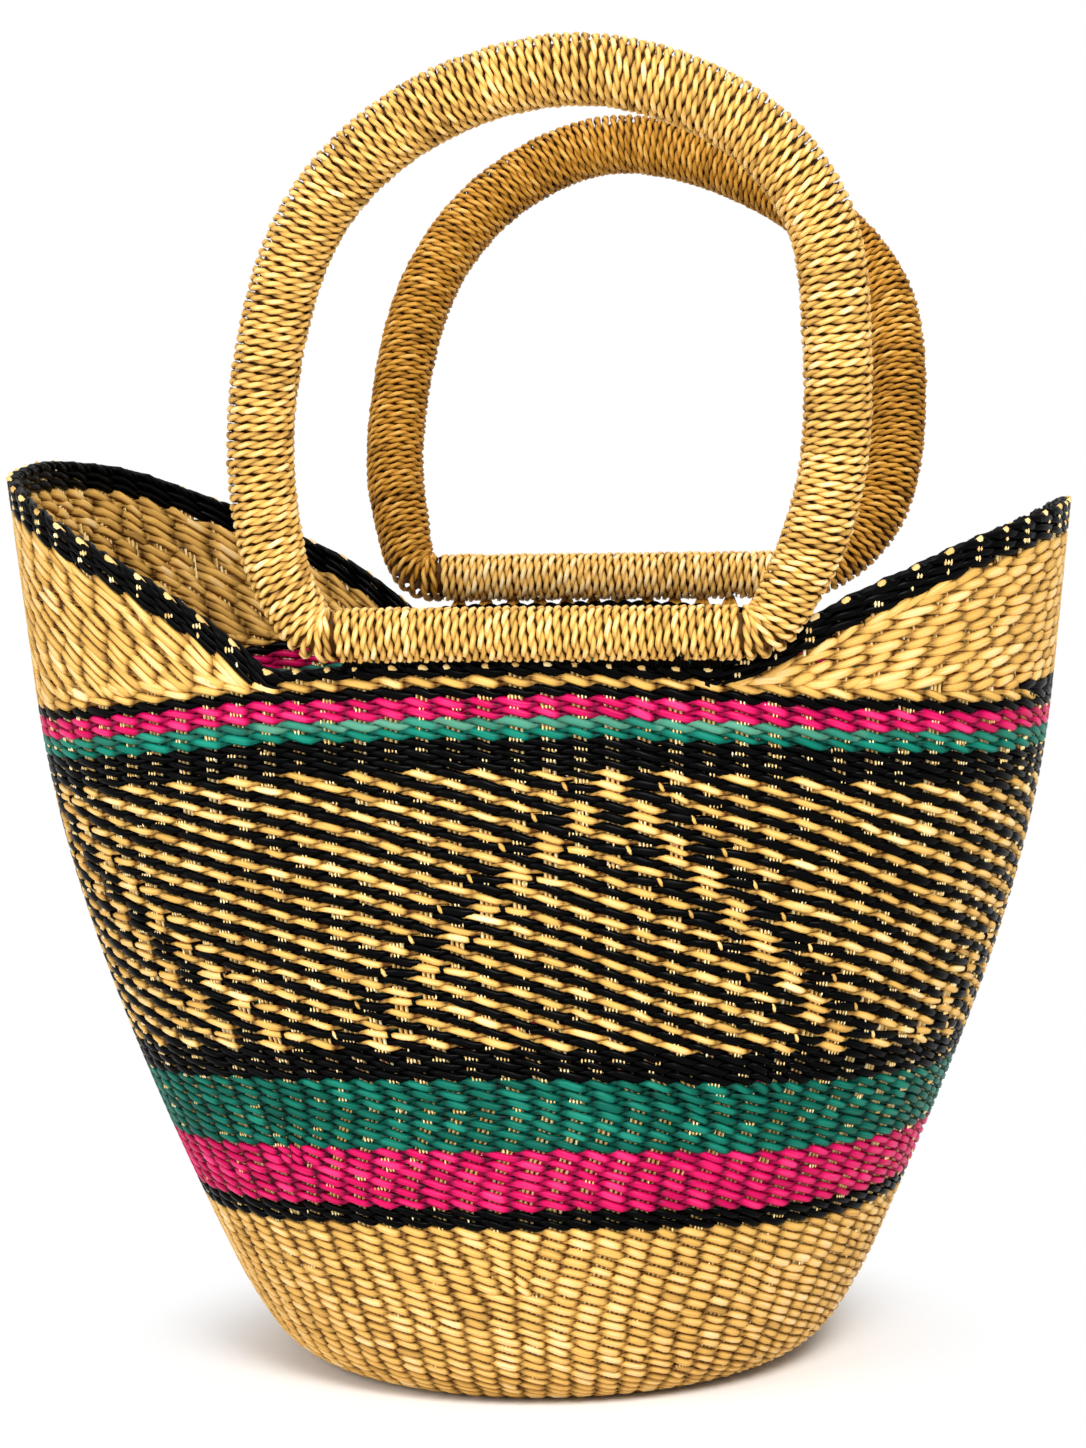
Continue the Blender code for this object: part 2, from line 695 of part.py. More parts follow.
def lashing(name, front, collection):
    """The ends of the stakes under a bar, which widen from the bar's wrap down to the rim, where they
    meet. They hold the bar's wrap on the basket."""
    axis = bar_place(front)
    half = LASHING_THICKNESS / 2
    sheet = bmesh.new()
    low_ribs = []
    tops = []
    under = [index for index in range(STAKES) if under_bar(stake_turn(index), front)]
    for place in range(2 * len(under) + 1):
        turn = (under[0] + place / 2) / STAKES
        foot = on_facets(turn, column_value(turn, rim_slant), 0.0)
        way = Vector((0.0, axis.y - foot.y, axis.z - foot.z))
        end = way.length - BAR_WRAP_RADIUS - GAP
        way.normalize()
        start = GAP / way.z + half * abs(way.y / way.z)
        if place % 2 == 0:
            middle = start + (end - start) * LASHING_FOOT_SHARE
            low_ribs.append([sheet.verts.new(foot + way * reach) for reach in (start, middle)])
        else:
            tops.append((foot + way * end, turn))
    for (low, high), (tip, turn) in zip(zip(low_ribs, low_ribs[1:]), tops):
        along = (high[1].co - low[1].co) * LASHING_TOP_SHARE / 2
        sheet.faces.new((low[0], high[0], high[1], low[1]))
        corners = (sheet.verts.new(tip + along), sheet.verts.new(tip - along))
        sheet.faces.new((low[1], high[1], *corners))
    item = mesh_object(name, sheet)
    thicken(item, LASHING_THICKNESS)
    finish(item, collection, SHADED_NATURAL)


def build():
    clear_scene()
    collection = bpy.data.collections.new("bolga_basket")
    cutters = bpy.data.collections.new("cutters")
    bpy.context.scene.collection.children.link(collection)
    bpy.context.scene.collection.children.link(cutters)
    base_rafts(collection, cutters)
    stakes(collection)
    weft_bands(collection)
    wing("right_wing", 0, collection)
    wing("left_wing", STAKES // 2, collection)
    rim_border(collection)
    for side, front, shares in (("front", True, FRONT_HOOP_SHARES), ("back", False, BACK_HOOP_SHARES)):
        line = hoop_line(shares)
        handle_core(side + "_handle_core", front, line, collection)
        arch_wrap(side + "_handle_wrap", front, line, collection)
        bar_wraps(side + "_bar_wrap", front, collection)
        lashing(side + "_bar_lashing", front, collection)


build()
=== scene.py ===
# %% [markdown]
# A bolga basket is twined from split elephant grass: stiff upright stakes, with two soft straws that
# twist round each other between one stake and the next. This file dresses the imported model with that
# straw. The frame comes first: every piece below is placed in its metres and rides on one of its bodies.

# %% Load the frame
import math

import bpy
import numpy as np
from mathutils import Matrix, Vector


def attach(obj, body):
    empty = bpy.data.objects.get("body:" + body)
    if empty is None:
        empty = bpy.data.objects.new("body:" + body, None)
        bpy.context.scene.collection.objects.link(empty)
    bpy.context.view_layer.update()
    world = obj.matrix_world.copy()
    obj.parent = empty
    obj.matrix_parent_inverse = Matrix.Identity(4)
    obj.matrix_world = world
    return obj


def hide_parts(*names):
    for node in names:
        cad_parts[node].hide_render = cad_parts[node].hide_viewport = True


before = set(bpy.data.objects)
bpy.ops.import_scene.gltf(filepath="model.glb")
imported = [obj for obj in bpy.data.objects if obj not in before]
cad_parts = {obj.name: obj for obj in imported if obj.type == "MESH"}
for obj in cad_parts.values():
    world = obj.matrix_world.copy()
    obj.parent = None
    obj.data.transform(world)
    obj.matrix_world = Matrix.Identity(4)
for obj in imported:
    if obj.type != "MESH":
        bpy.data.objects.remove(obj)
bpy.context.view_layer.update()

# %% [markdown]
# The wall is one curved sheet, and every straw lies on it. A place on it is a turn round the basket,
# from 0 to 1 and starting at +X, and a slant, the way along a stake from the edge of the flat base. It
# could be a mesh to which straws are snapped, but a formula gives exact places and directions anywhere,
# so the same few numbers as in the solids are used here.

# %% The wall as a formula
MM = 0.001
BASE_RADIUS = 84 * MM
START_RADIUS = 20.3 * MM
WALL_SLANT = 289 * MM
WALL_HALF = 2.8 * MM
ROW_PITCH = 3.75 * MM
LEAN_SHARES = (0.0, 0.048, 0.104, 0.208, 0.381, 0.588, 0.796, 1.0)
END_LEANS = (90.0, 62.0, 34.0, 24.0, 23.0, 20.0, 14.0, 6.0)
SIDE_LEANS = (90.0, 52.0, 26.0, 16.0, 6.0, -1.5, -3.5, 2.0)
MOUTH_SQUARENESS = 2.42
BASE_START = START_RADIUS - BASE_RADIUS
PROFILE_POINTS = 600


def profile(leans):
    """Slant, radius and height along a stake that leans by these degrees."""
    slants = np.linspace(BASE_START, WALL_SLANT, PROFILE_POINTS)
    lean = np.radians(np.interp(slants, np.array(LEAN_SHARES) * WALL_SLANT, leans))
    middle = (lean[1:] + lean[:-1]) / 2
    steps = np.diff(slants)
    radius = START_RADIUS + np.append(0.0, np.cumsum(np.sin(middle) * steps))
    height = np.append(0.0, np.cumsum(np.cos(middle) * steps))
    return slants, radius, height


END_PROFILE = profile(END_LEANS)
SIDE_PROFILE = profile(SIDE_LEANS)


def along_profile(table, slant):
    """Radius and height at slants, running on straight past the top."""
    slants, radius, height = table
    inside = np.minimum(slant, WALL_SLANT)
    step = slants[-1] - slants[-2]
    past = (slant - inside) / step
    return (
        np.interp(inside, slants, radius) + past * (radius[-1] - radius[-2]),
        np.interp(inside, slants, height) + past * (height[-1] - height[-2]),
    )


def signed_power(value, power):
    return np.sign(value) * np.abs(value) ** power


round_angles = np.linspace(0.0, 2 * math.pi, 1201)
mouth_across = signed_power(np.cos(round_angles), 2 / MOUTH_SQUARENESS) * END_PROFILE[1][-1]
mouth_along = signed_power(np.sin(round_angles), 2 / MOUTH_SQUARENESS) * SIDE_PROFILE[1][-1]
mouth_way = np.append(0.0, np.cumsum(np.hypot(np.diff(mouth_across), np.diff(mouth_along))))
MOUTH_TURNS = mouth_way / mouth_way[-1]


def plan_shares(turn, slant):
    """Where a turn lies in plan, as shares of the half length and of the half width."""
    oval = np.clip(slant / WALL_SLANT, 0.0, 1.0)
    turn = turn % 1.0
    angle = (1 - oval) * turn * 2 * math.pi + oval * np.interp(turn, MOUTH_TURNS, round_angles)
    power = 2 / (2 + (MOUTH_SQUARENESS - 2) * oval)
    return signed_power(np.cos(angle), power), signed_power(np.sin(angle), power)


def wall_point(turn, slant):
    """A point in the middle of the wall's thickness."""
    turn, slant = np.broadcast_arrays(np.asarray(turn, float), np.asarray(slant, float))
    along, across = plan_shares(turn, slant)
    end_radius, end_height = along_profile(END_PROFILE, slant)
    side_radius, side_height = along_profile(SIDE_PROFILE, slant)
    height = side_height + (end_height - side_height) * along**2 + WALL_HALF
    return np.stack([end_radius * along, side_radius * across, height], axis=-1)


def unit(vectors):
    return vectors / np.linalg.norm(vectors, axis=-1, keepdims=True)


SIDE_STEP = 0.003
UP_STEP = 0.8 * MM


def wall_frame(turn, slant):
    """A point of the wall with its directions up the stakes and out of the basket."""
    round_it = wall_point(turn + SIDE_STEP, slant) - wall_point(turn - SIDE_STEP, slant)
    up = unit(wall_point(turn, slant + UP_STEP) - wall_point(turn, slant - UP_STEP))
    return wall_point(turn, slant), up, unit(np.cross(round_it, up))


mouth = wall_point(np.linspace(0, 1, 400), np.full(400, WALL_SLANT))
print("mouth, mm", np.round((mouth.max(axis=0) - mouth.min(axis=0)) / MM, 1))

# %% [markdown]
# The rim is low along both handles and rises to a wing at each end. The left wing stands higher. The
# black border is one row deep along the handles and about three rows deep on the wings.

# %% The rim's rise
CLEARANCE = 0.3 * MM
BORDER_ROW = 3.75 * MM
WING_BORDER_HEIGHT = 10.5 * MM
# For each wing, its rise, the share of the half length at which it starts, and its shift in turns
RIGHT_RISE, RIGHT_FROM, RIGHT_TURN = 64.5 * MM, 0.45, 0.012
LEFT_RISE, LEFT_FROM, LEFT_TURN, LEFT_BEND = 83 * MM, 0.4, 0.008, 0.85


def wing_rise(turn):
    """How far the rim stands above its lowest stretch, along the stakes."""
    top = np.full(np.shape(turn), WALL_SLANT)
    right = plan_shares(turn + RIGHT_TURN, top)[0]
    left = -plan_shares(turn + LEFT_TURN, top)[0]
    right_way = np.clip((right - RIGHT_FROM) / (1 - RIGHT_FROM), 0.0, None)
    left_way = np.clip((left - LEFT_FROM) / (1 - LEFT_FROM), 0.0, None)
    return np.maximum(RIGHT_RISE * right_way, LEFT_RISE * left_way**LEFT_BEND)


def rim_slant(turn):
    return WALL_SLANT + CLEARANCE + BORDER_ROW + wing_rise(turn)


def weave_slant(turn):
    """Top of the twining under the border."""
    return np.maximum(WALL_SLANT, rim_slant(turn) - CLEARANCE - WING_BORDER_HEIGHT)


print("rim rises, mm", np.round(wing_rise(np.array([0.0, 0.25, 0.5, 0.75])) / MM, 1))

# %% [markdown]
# Straw is split, damped and pulled by hand, so no two stitches are alike. Rows wander a little up and
# down, stakes wander sideways, and 16 stakes are added on the way up as the wall widens. A seeded
# generator keeps every run the same.

# %% Stakes, and how they spread
STAKES = 84
GROUPS = STAKES // 3
ADDED_PAIRS = 8
chance = np.random.default_rng(7)
stake_numbers = np.arange(STAKES)
nearest_groups = np.round(stake_numbers / 3).astype(int)
pair_numbers = np.round(nearest_groups * ADDED_PAIRS / GROUPS).astype(int)
pair_groups = np.round(pair_numbers * GROUPS / ADDED_PAIRS).astype(int)
is_added = (stake_numbers % 3 != 1) & (pair_groups == nearest_groups)
ADDED_AT = np.array((0.0, 0.35, 0.18, 0.45))[pair_numbers % 4] * WALL_SLANT
ALWAYS = BASE_START - 1.0
STAKE_STARTS = np.where(is_added, ADDED_AT, ALWAYS)
ADDED_GROWTH = 32 * MM
SHOWS_FROM = 0.3
CROWDING = 0.10


def stake_room(slant):
    """The share of a full stitch that each stake takes at a slant: 0 before it is added."""
    return np.clip((slant - STAKE_STARTS) / ADDED_GROWTH, 0.0, 1.0)


def stake_middles(slant):
    """Each stake's share of the way round at a slant."""
    room = stake_room(slant)
    return (np.cumsum(room) - room / 2) / room.sum()


def crowded(share, slant):
    """Stakes stand a little closer along the handles than at the mouth's ends."""
    oval = np.clip(slant / WALL_SLANT, 0.0, 1.0)
    return share + CROWDING * oval * np.sin(4 * math.pi * share) / (4 * math.pi)


def stitch_edges(slant):
    """The stakes that show at a slant, and the shares of the way round where their stitches meet."""
    present = np.flatnonzero(stake_room(slant) > SHOWS_FROM)
    middles = stake_middles(slant)[present]
    between = (middles + np.append(middles[1:], middles[0] + 1)) / 2
    return present, np.append(between[-1] - 1, between)


def ripple(turn, waves, shift):
    return np.sin(2 * math.pi * (waves * turn + shift))


def row_wander(turn, slant):
    """How far a row strays along the stakes: up to 1.2 mm, and less on the base."""
    fade = np.clip((slant + 30 * MM) / (60 * MM), 0.0, 1.0)
    slow = 0.55 * ripple(turn, 3, 0.12) + 0.4 * ripple(turn, 7, 6 * slant)
    return fade * (slow + 0.25 * ripple(turn, 17, 11 * slant)) * MM


print("stakes", STAKES, "at the base", int((~is_added).sum()))

# %% [markdown]
# Every straw is a tube with an oval section that changes along its way: fat over a stake, pinched where
# two straws cross. Curves with a bevel could do that for one straw, but there are some thousands of
# stitches, so the tubes are filled in as arrays, a whole band at a time. Each point also keeps three
# things for the material: its tone, how faded it is, and its place in the straw in millimetres.

# %% From straws to a mesh
# How much darker each straw's tone is painted at the top and bottom of its section: painted shade in the
# crevices between rows.
PAINTED_EDGE_SHADE = 0.34
LINES_SHIFT_ALONG, LINES_SHIFT_ACROSS = 5000, 50
AXIS_X, AXIS_Y, AXIS_Z = np.eye(3)


def strand(points, up, out, tall, thick, tone, closed=False):
    """One straw: its middle line, two directions across it, and its half sizes along them."""
    count = len(points)
    return {
        "points": points,
        "up": np.broadcast_to(up, points.shape),
        "out": np.broadcast_to(out, points.shape),
        "tall": np.broadcast_to(tall, count),
        "thick": np.broadcast_to(thick, count),
        "tone": np.broadcast_to(tone, count),
        "faded": np.zeros(count),
        "closed": closed,
    }


def straw_mesh(name, strands, sides=6):
    """One mesh of all the strands, with a map that gives every face its own patch."""
    theta = np.arange(sides) * 2 * math.pi / sides
    around = np.stack([np.cos(theta), np.sin(theta)])
    corners, places, tones, fades, quads, start = [], [], [], [], [], 0
    for item in strands:
        points, up, out = item["points"], item["up"], item["out"]
        count = len(points)
        side_up = item["tall"][:, None] * around[0]
        side_out = item["thick"][:, None] * around[1]
        corner = points[:, None] + side_up[..., None] * up[:, None]
        corner = corner + side_out[..., None] * out[:, None]
        corners.append(corner.reshape(-1, 3))
        steps = np.linalg.norm(np.diff(points, axis=0), axis=1)
        start_way = chance.uniform(0, LINES_SHIFT_ALONG * MM)
        way = (np.append(0.0, np.cumsum(steps)) + start_way)[:, None] / MM
        way = np.broadcast_to(way, side_up.shape)
        shift = chance.uniform(0, LINES_SHIFT_ACROSS)
        place = np.stack([way, side_up / MM + shift, side_out / MM], axis=-1)
        places.append(place.reshape(-1, 3))
        # Painted shade: the tone is darker at the top and bottom edges of each straw.
        tones.append((item["tone"][:, None] - PAINTED_EDGE_SHADE * around[0] ** 2).ravel())
        fades.append(np.repeat(item["faded"], sides))
        first = np.arange(count if item["closed"] else count - 1)[:, None] * sides
        after = (first + sides) % (count * sides)
        side = np.arange(sides)
        beside = (side + 1) % sides
        turned = np.dot(np.cross(up[0], out[0]), points[1] - points[0]) > 0
        round_face = (first + side, first + beside, after + beside, after + side)
        if not turned:
            round_face = round_face[::-1]
        quads.append(start + np.stack(round_face, axis=-1).reshape(-1, 4))
        start += count * sides
    quads = np.concatenate(quads)
    mesh = bpy.data.meshes.new(name)
    mesh.vertices.add(start)
    mesh.vertices.foreach_set("co", np.concatenate(corners).astype(np.float32).ravel())
    mesh.loops.add(quads.size)
    mesh.loops.foreach_set("vertex_index", quads.astype(np.int32).ravel())
    mesh.polygons.add(len(quads))
    mesh.polygons.foreach_set("loop_start", np.arange(0, quads.size, 4, dtype=np.int32))
    mesh.update(calc_edges=True)
    mesh.shade_smooth()
    for label, kind, values in (
        ("tone", "FLOAT", np.concatenate(tones)),
        ("faded", "FLOAT", np.concatenate(fades)),
        ("straw_place", "FLOAT_VECTOR", np.concatenate(places)),
    ):
        key = "value" if kind == "FLOAT" else "vector"
        attribute = mesh.attributes.new(label, kind, "POINT")
        attribute.data.foreach_set(key, values.astype(np.float32).ravel())
    lay_out_map(mesh, len(quads) // sides, sides)
    return mesh


def lay_out_map(mesh, segments, sides):
    """A map in which the straws' faces lie in rows side by side, a row of room between strips."""
    length = max(8, int(math.sqrt(segments * (sides + 1))))
    strips = math.ceil(segments / length)
    segment = np.repeat(np.arange(segments), sides)
    side = np.tile(np.arange(sides), segments)
    left = (segment % length) / length
    low = (segment // length * (sides + 1) + side + 0.5) / (strips * (sides + 1))
    wide, tall = 1 / length, 1 / (strips * (sides + 1))
    across = np.stack([left, left, left + wide, left + wide], axis=-1)
    along = np.stack([low, low + tall, low + tall, low], axis=-1)
    corners = np.stack([across, along], axis=-1)
    mesh.uv_layers.new(name="OFBake").data.foreach_set("uv", corners.astype(np.float32).ravel())


made_pieces = []


def straw_piece(name, strands, material, slot, *nodes, body="basket", sides=6):
    """A mesh of straws as a piece that rides on a body, in place of CAD nodes."""
    item = bpy.data.objects.new(name, straw_mesh(name, strands, sides))
    bpy.context.scene.collection.objects.link(item)
    item.data.materials.append(material)
    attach(item, body)
    if nodes:
        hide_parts(*nodes)
    made_pieces.append(item)
    print(name, "strands", len(strands), "triangles", len(item.data.polygons) * 2)


# %% [markdown]
# The camera stands where the photograph was taken from: a little above the rim, a little to the right,
# and far away with a long lens. Its numbers come from fitting the solids' outline to the photograph.

# %% Camera
PHOTO_WIDTH, PHOTO_HEIGHT = 1086, 1448
azimuth, pitch, roll = (math.radians(v) for v in (7.2, -6.47, -1.15))
distance, sideways, eye_height, focal_pixels = 1.6044, -0.00054, 0.4257, 4162.4
turned_x, turned_y = math.cos(azimuth), math.sin(azimuth)
eye = Vector(
    (
        sideways * turned_x + distance * turned_y,
        sideways * turned_y - distance * turned_x,
        eye_height,
    )
)
ahead = Vector((-turned_y * math.cos(pitch), turned_x * math.cos(pitch), math.sin(pitch)))
level_right = Vector((turned_x, turned_y, 0.0))
level_up = level_right.cross(ahead)
right = math.cos(roll) * level_right + math.sin(roll) * level_up
upward = -math.sin(roll) * level_right + math.cos(roll) * level_up
camera = bpy.data.objects.new("camera", bpy.data.cameras.new("camera"))
bpy.context.scene.collection.objects.link(camera)
camera.matrix_world = Matrix.Translation(eye) @ Matrix((right, upward, -ahead)).transposed().to_4x4()
camera.data.sensor_width = 36.0
camera.data.lens = focal_pixels / max(PHOTO_WIDTH, PHOTO_HEIGHT) * camera.data.sensor_width
camera.data.clip_start = 0.05
camera.data.clip_end = 50.0
bpy.context.scene.camera = camera
print("lens, mm", round(camera.data.lens, 1))

# %% [markdown]
# Elephant grass is a dried plant stem with a waxy skin. What the eye gets is a soft silky gloss, fine
# lines along every straw, a tone that changes from stitch to stitch, and slow patches where a bundle
# was darker. So one build makes all the straw colours: a noise stretched along the straw gives the
# lines, the stitch's own tone, which also carries painted shade, and a slow noise are added, and a ramp
# turns the sum into colour. A stitch whose dye has faded mixes in a duller colour. The lines are about
# 0.5 mm wide on the real straw, which is also how wide they are drawn.

# %% Straw material
def linear(hex_colour):
    """The linear colour of an sRGB hex value."""
    parts = [int(hex_colour[i : i + 2], 16) / 255 for i in (0, 2, 4)]
    return [p / 12.92 if p <= 0.04045 else ((p + 0.055) / 1.055) ** 2.4 for p in parts] + [1.0]


def add_node(tree, kind, settings=(), values=(), links=()):
    """A node with its settings, its sockets' values, and links into its sockets."""
    node = tree.nodes.new(kind)
    for key, value in dict(settings).items():
        setattr(node, key, value)
    for key, value in dict(values).items():
        node.inputs[key].default_value = value
    for key, source in dict(links).items():
        tree.links.new(source, node.inputs[key])
    return node


FIBRE_WIDTH_MM = 0.5
FIBRE_LENGTH_MM = 14.0
FIBRE_SHADE = 0.6
FIBRE_RELIEF = 0.35
PATCH_MM = 40.0
PATCH_SHADE = 0.3
DARKEST_SUM, PALEST_SUM = 0.35, 1.55


def straw(name, dark, middle, light, faded, roughness, gloss):
    """Straw from four sRGB hex colours: shaded, usual, pale, and the faded stitches' own."""
    material = bpy.data.materials.new(name)
    material.use_nodes = True
    tree = material.node_tree
    shader = tree.nodes["Principled BSDF"]
    place, tone, fade = (
        add_node(tree, "ShaderNodeAttribute", {"attribute_name": label})
        for label in ("straw_place", "tone", "faded")
    )
    stretch = (1 / FIBRE_LENGTH_MM, 1 / FIBRE_WIDTH_MM, 1 / FIBRE_WIDTH_MM)
    along = add_node(
        tree,
        "ShaderNodeVectorMath",
        {"operation": "MULTIPLY"},
        {1: stretch},
        {0: place.outputs["Vector"]},
    )
    fibres = add_node(
        tree,
        "ShaderNodeTexNoise",
        values={"Scale": 1.0, "Detail": 2.0, "Roughness": 0.6},
        links={"Vector": along.outputs[0]},
    )
    where = add_node(tree, "ShaderNodeTexCoord")
    patches = add_node(
        tree,
        "ShaderNodeTexNoise",
        values={"Scale": 1000 / PATCH_MM, "Detail": 2.0},
        links={"Vector": where.outputs["Object"]},
    )
    total = tone.outputs["Fac"]
    for source, shade in ((fibres, FIBRE_SHADE), (patches, PATCH_SHADE)):
        links = {0: source.outputs["Fac"], 2: total}
        added = add_node(tree, "ShaderNodeMath", {"operation": "MULTIPLY_ADD"}, {1: shade}, links)
        total = added.outputs[0]
    level = add_node(
        tree,
        "ShaderNodeMapRange",
        values={"From Min": DARKEST_SUM, "From Max": PALEST_SUM},
        links={"Value": total},
    )
    ramp = add_node(tree, "ShaderNodeValToRGB", links={"Fac": level.outputs[0]})
    ramp.color_ramp.elements[0].color = linear(dark)
    ramp.color_ramp.elements[0].position = 0.0
    ramp.color_ramp.elements[1].color = linear(light)
    ramp.color_ramp.elements[1].position = 0.95
    ramp.color_ramp.elements.new(0.5).color = linear(middle)
    colour = add_node(
        tree,
        "ShaderNodeMix",
        {"data_type": "RGBA"},
        {"B": linear(faded)},
        {"Factor": fade.outputs["Fac"], "A": ramp.outputs["Color"]},
    )
    bump = add_node(
        tree,
        "ShaderNodeBump",
        values={"Strength": FIBRE_RELIEF, "Distance": 0.25 * MM},
        links={"Height": fibres.outputs["Fac"]},
    )
    tree.links.new(colour.outputs["Result"], shader.inputs["Base Color"])
    tree.links.new(bump.outputs["Normal"], shader.inputs["Normal"])
    shader.inputs["Roughness"].default_value = roughness
    shader.inputs["Specular IOR Level"].default_value = gloss
    return material


natural_straw = straw("natural elephant grass", "4E2A06", "E2B05A", "FFECBA", "B07F3E", 0.5, 0.1)
# A darker copy of the natural straw: painted shade, for the hoops' cores, the back handle's cord and the
# fans under the back bar.
shaded_straw = straw("elephant grass in painted shade", "442404", "BC842E", "E8C070", "8A5E2A", 0.52, 0.1)
# Split stake straw is paler than the twining, and it is also painted brighter so that it shows in the
# shade deep between the stitches: partly painted light.
stake_straw = straw("split grass stake", "A87830", "ECC67A", "FFF0C0", "A37338", 0.45, 0.25)
black_straw = straw("black-dyed elephant grass", "010101", "020202", "080708", "3A2A2C", 0.33, 0.04)
pink_straw = straw("pink-dyed elephant grass", "3C0018", "C80654", "F44A8C", "F06A9C", 0.4, 0.1)
green_straw = straw(
    "deep green-dyed elephant grass", "001410", "045848", "24967E", "6FA88C", 0.4, 0.08
)
bright_green_straw = straw(
    "faded green elephant grass", "022A22", "066C5A", "209880", "5E9A80", 0.4, 0.08
)
# The hoops' cores take the straw with painted shade.
for core in ("front_handle_core", "back_handle_core"):
    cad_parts[core].data.materials.clear()
    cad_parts[core].data.materials.append(shaded_straw)
print("materials", len(bpy.data.materials))

# %% [markdown]
# In twining, each straw goes over one stake and under the next, and its partner does the reverse. Seen
# flat, a stitch is a leaf with pointed ends that lies a little downhill, and it shows the same on the
# inside. So the middle line swings down and up along the wall as a cosine, and out and in as a sine,
# half a wave for each stake. A texture could fake it, but then the rim and the gaps would look flat.

# %% Twining a row
OUT_SWING = 1.65 * MM
DOWN_SWING = 1.2 * MM
STITCH_HALF = 1.62 * MM
CROSSING_LIFT = 0.6 * MM
OUTSIDE_STEPS = 5
INSIDE_STEPS = 3
ROW_STEPS = (OUTSIDE_STEPS, INSIDE_STEPS)
PINCH_REACH, PINCH_LEAST = 1.95 * MM, 0.06 * MM
SIZE_SPREAD, HEIGHT_SPREAD = 0.08, 0.18 * MM
USUAL_TONE, STITCH_TONES, ROW_TONES = 0.68, 0.09, 0.03
PAINTED_PINCH_SHADE, PAINTED_INSIDE_SHADE = 0.48, 0.12
ROW_END = 0.95


def level_row(slant):
    """The way of a row that stays at one slant."""
    return lambda turn: np.full(turn.shape, slant)


def twine(
    slant_at,
    spans,
    over,
    nominal,
    lean=1.0,
    plump=(1.0, 1.0),
    steps=ROW_STEPS,
    jog_size=0.07,
    row_shift=0.0,
):
    """The two straws of one row, as (straw of the over stitches, the other).

    slant_at gives the row's slant at turns, spans is (first, count) of stakes or None for the whole
    round, over says for each stake whether the first straw passes outside it, nominal is the slant
    whose stakes the row crosses, and plump is how fat each of the two straws is.
    """
    present, edges = stitch_edges(nominal)
    whole = spans is None
    first, count = (0, len(present)) if whole else spans
    index = np.arange(first, first + count)
    sides_a = np.where(over[index % len(present)], 1.0, -1.0)
    made = []
    swung = DOWN_SWING * abs(lean)
    pinched = max(swung + PINCH_LEAST, PINCH_REACH - swung)
    size = 1 + chance.normal(0, SIZE_SPREAD, count)
    height_shift = chance.normal(0, HEIGHT_SPREAD, count)
    jog = chance.normal(0, jog_size, count + 1)
    if row_shift:
        jog = jog + chance.normal(0, row_shift)
    if whole:
        jog[-1] = jog[0]
    for sign, fatness in zip((1.0, -1.0), plump):
        full, narrow = STITCH_HALF * fatness, pinched * min(fatness, 1.0) ** 3
        side = sides_a * sign
        before = np.roll(side, 1)
        crossing = np.where(before != side, -lean * before, 0.0)
        after = np.roll(crossing, -1)
        if not whole:
            crossing[0] = side[0] * lean
            after[-1] = -side[-1] * lean
        numbers = np.where(side > 0, *steps)
        share = np.concatenate([np.arange(number) / number for number in numbers])
        span = np.repeat(np.arange(count), numbers)
        if not whole:
            share, span = np.append(share, 1.0), np.append(span, count - 1)
        wave = np.sin(math.pi * share)
        here, there = crossing[span], after[span]
        swing = (here + there) / 2 + (here - there) / 2 * np.cos(math.pi * share)
        place = index[span] + share
        place = place + jog[span] * (1 - share) + jog[span + 1] * share
        round_shares = np.interp(place % len(present), np.arange(len(present) + 1), edges)
        turn = crowded(round_shares, nominal)
        slant = slant_at(turn)
        slant = slant + row_wander(turn, slant) + swing * DOWN_SWING + height_shift[span] * wave
        point, up, out = wall_frame(turn, slant)
        dive = np.where(side[span] > 0, 0.7, 1.3)
        depth = side[span] * OUT_SWING * wave**dive + CROSSING_LIFT * (1 - wave)
        tall = (narrow + (full - narrow) * wave**0.8) * size[span]
        thick = (1.4 - 0.35 * wave) * MM
        if not whole:
            tall[[0, -1]] *= ROW_END
            thick[[0, -1]] *= ROW_END
        mood = chance.normal(USUAL_TONE, STITCH_TONES, count) + chance.normal(0, ROW_TONES)
        # Painted shade: straws on the inside of the wall are toned darker.
        inside = np.where(side[span] < 0, PAINTED_INSIDE_SHADE, 0.0)
        # Painted shade: the tone is darker towards each crossing, where the straws pinch.
        tone = mood[span] - PAINTED_PINCH_SHADE * (1 - wave) ** 2 - inside
        made.append(strand(point + out * depth[:, None], up, out, tall, thick, tone, closed=whole))
    return made


PATTERN_ROWS = 27
# Each band's name, rows, straw and slot, and the share of its stitches with dots of stake under them
BANDS = (
    ("lower_natural_band", 17, natural_straw, "natural_straw", 0.06),
    ("lower_black_line", 2, black_straw, "black_straw", 0.3),
    ("lower_pink_band", 6, pink_straw, "pink_straw", 0.12),
    ("lower_green_band", 7, green_straw, "green_straw", 0.16),
    ("lower_black_band", 3, black_straw, "black_straw", 0.45),
    ("pattern_band", PATTERN_ROWS, None, None, 0.55),
    ("upper_black_band", 3, black_straw, "black_straw", 0.65),
    ("upper_green_band", 2, bright_green_straw, "bright_green_straw", 0.55),
    ("upper_pink_band", 2, pink_straw, "pink_straw", 0.4),
    ("upper_black_row", 1, black_straw, "black_straw", 0.5),
    ("upper_natural_row", 1, natural_straw, "natural_straw", 0.0),
)
band_starts = {}
lowest = WALL_SLANT - sum(count for _, count, *_ in BANDS) * ROW_PITCH
for band, count, *_ in BANDS:
    band_starts[band] = lowest
    lowest += count * ROW_PITCH
every_other = np.arange(STAKES) % 2 == 0


def plain_rows(low, count, plump=1.0, steps=ROW_STEPS):
    """Rows of one colour, from a slant up."""
    strands = []
    for row in range(count):
        middle = low + (row + 0.5) * ROW_PITCH
        strands += twine(level_row(middle), None, every_other, middle, plump=(plump, plump), steps=steps)
    return strands


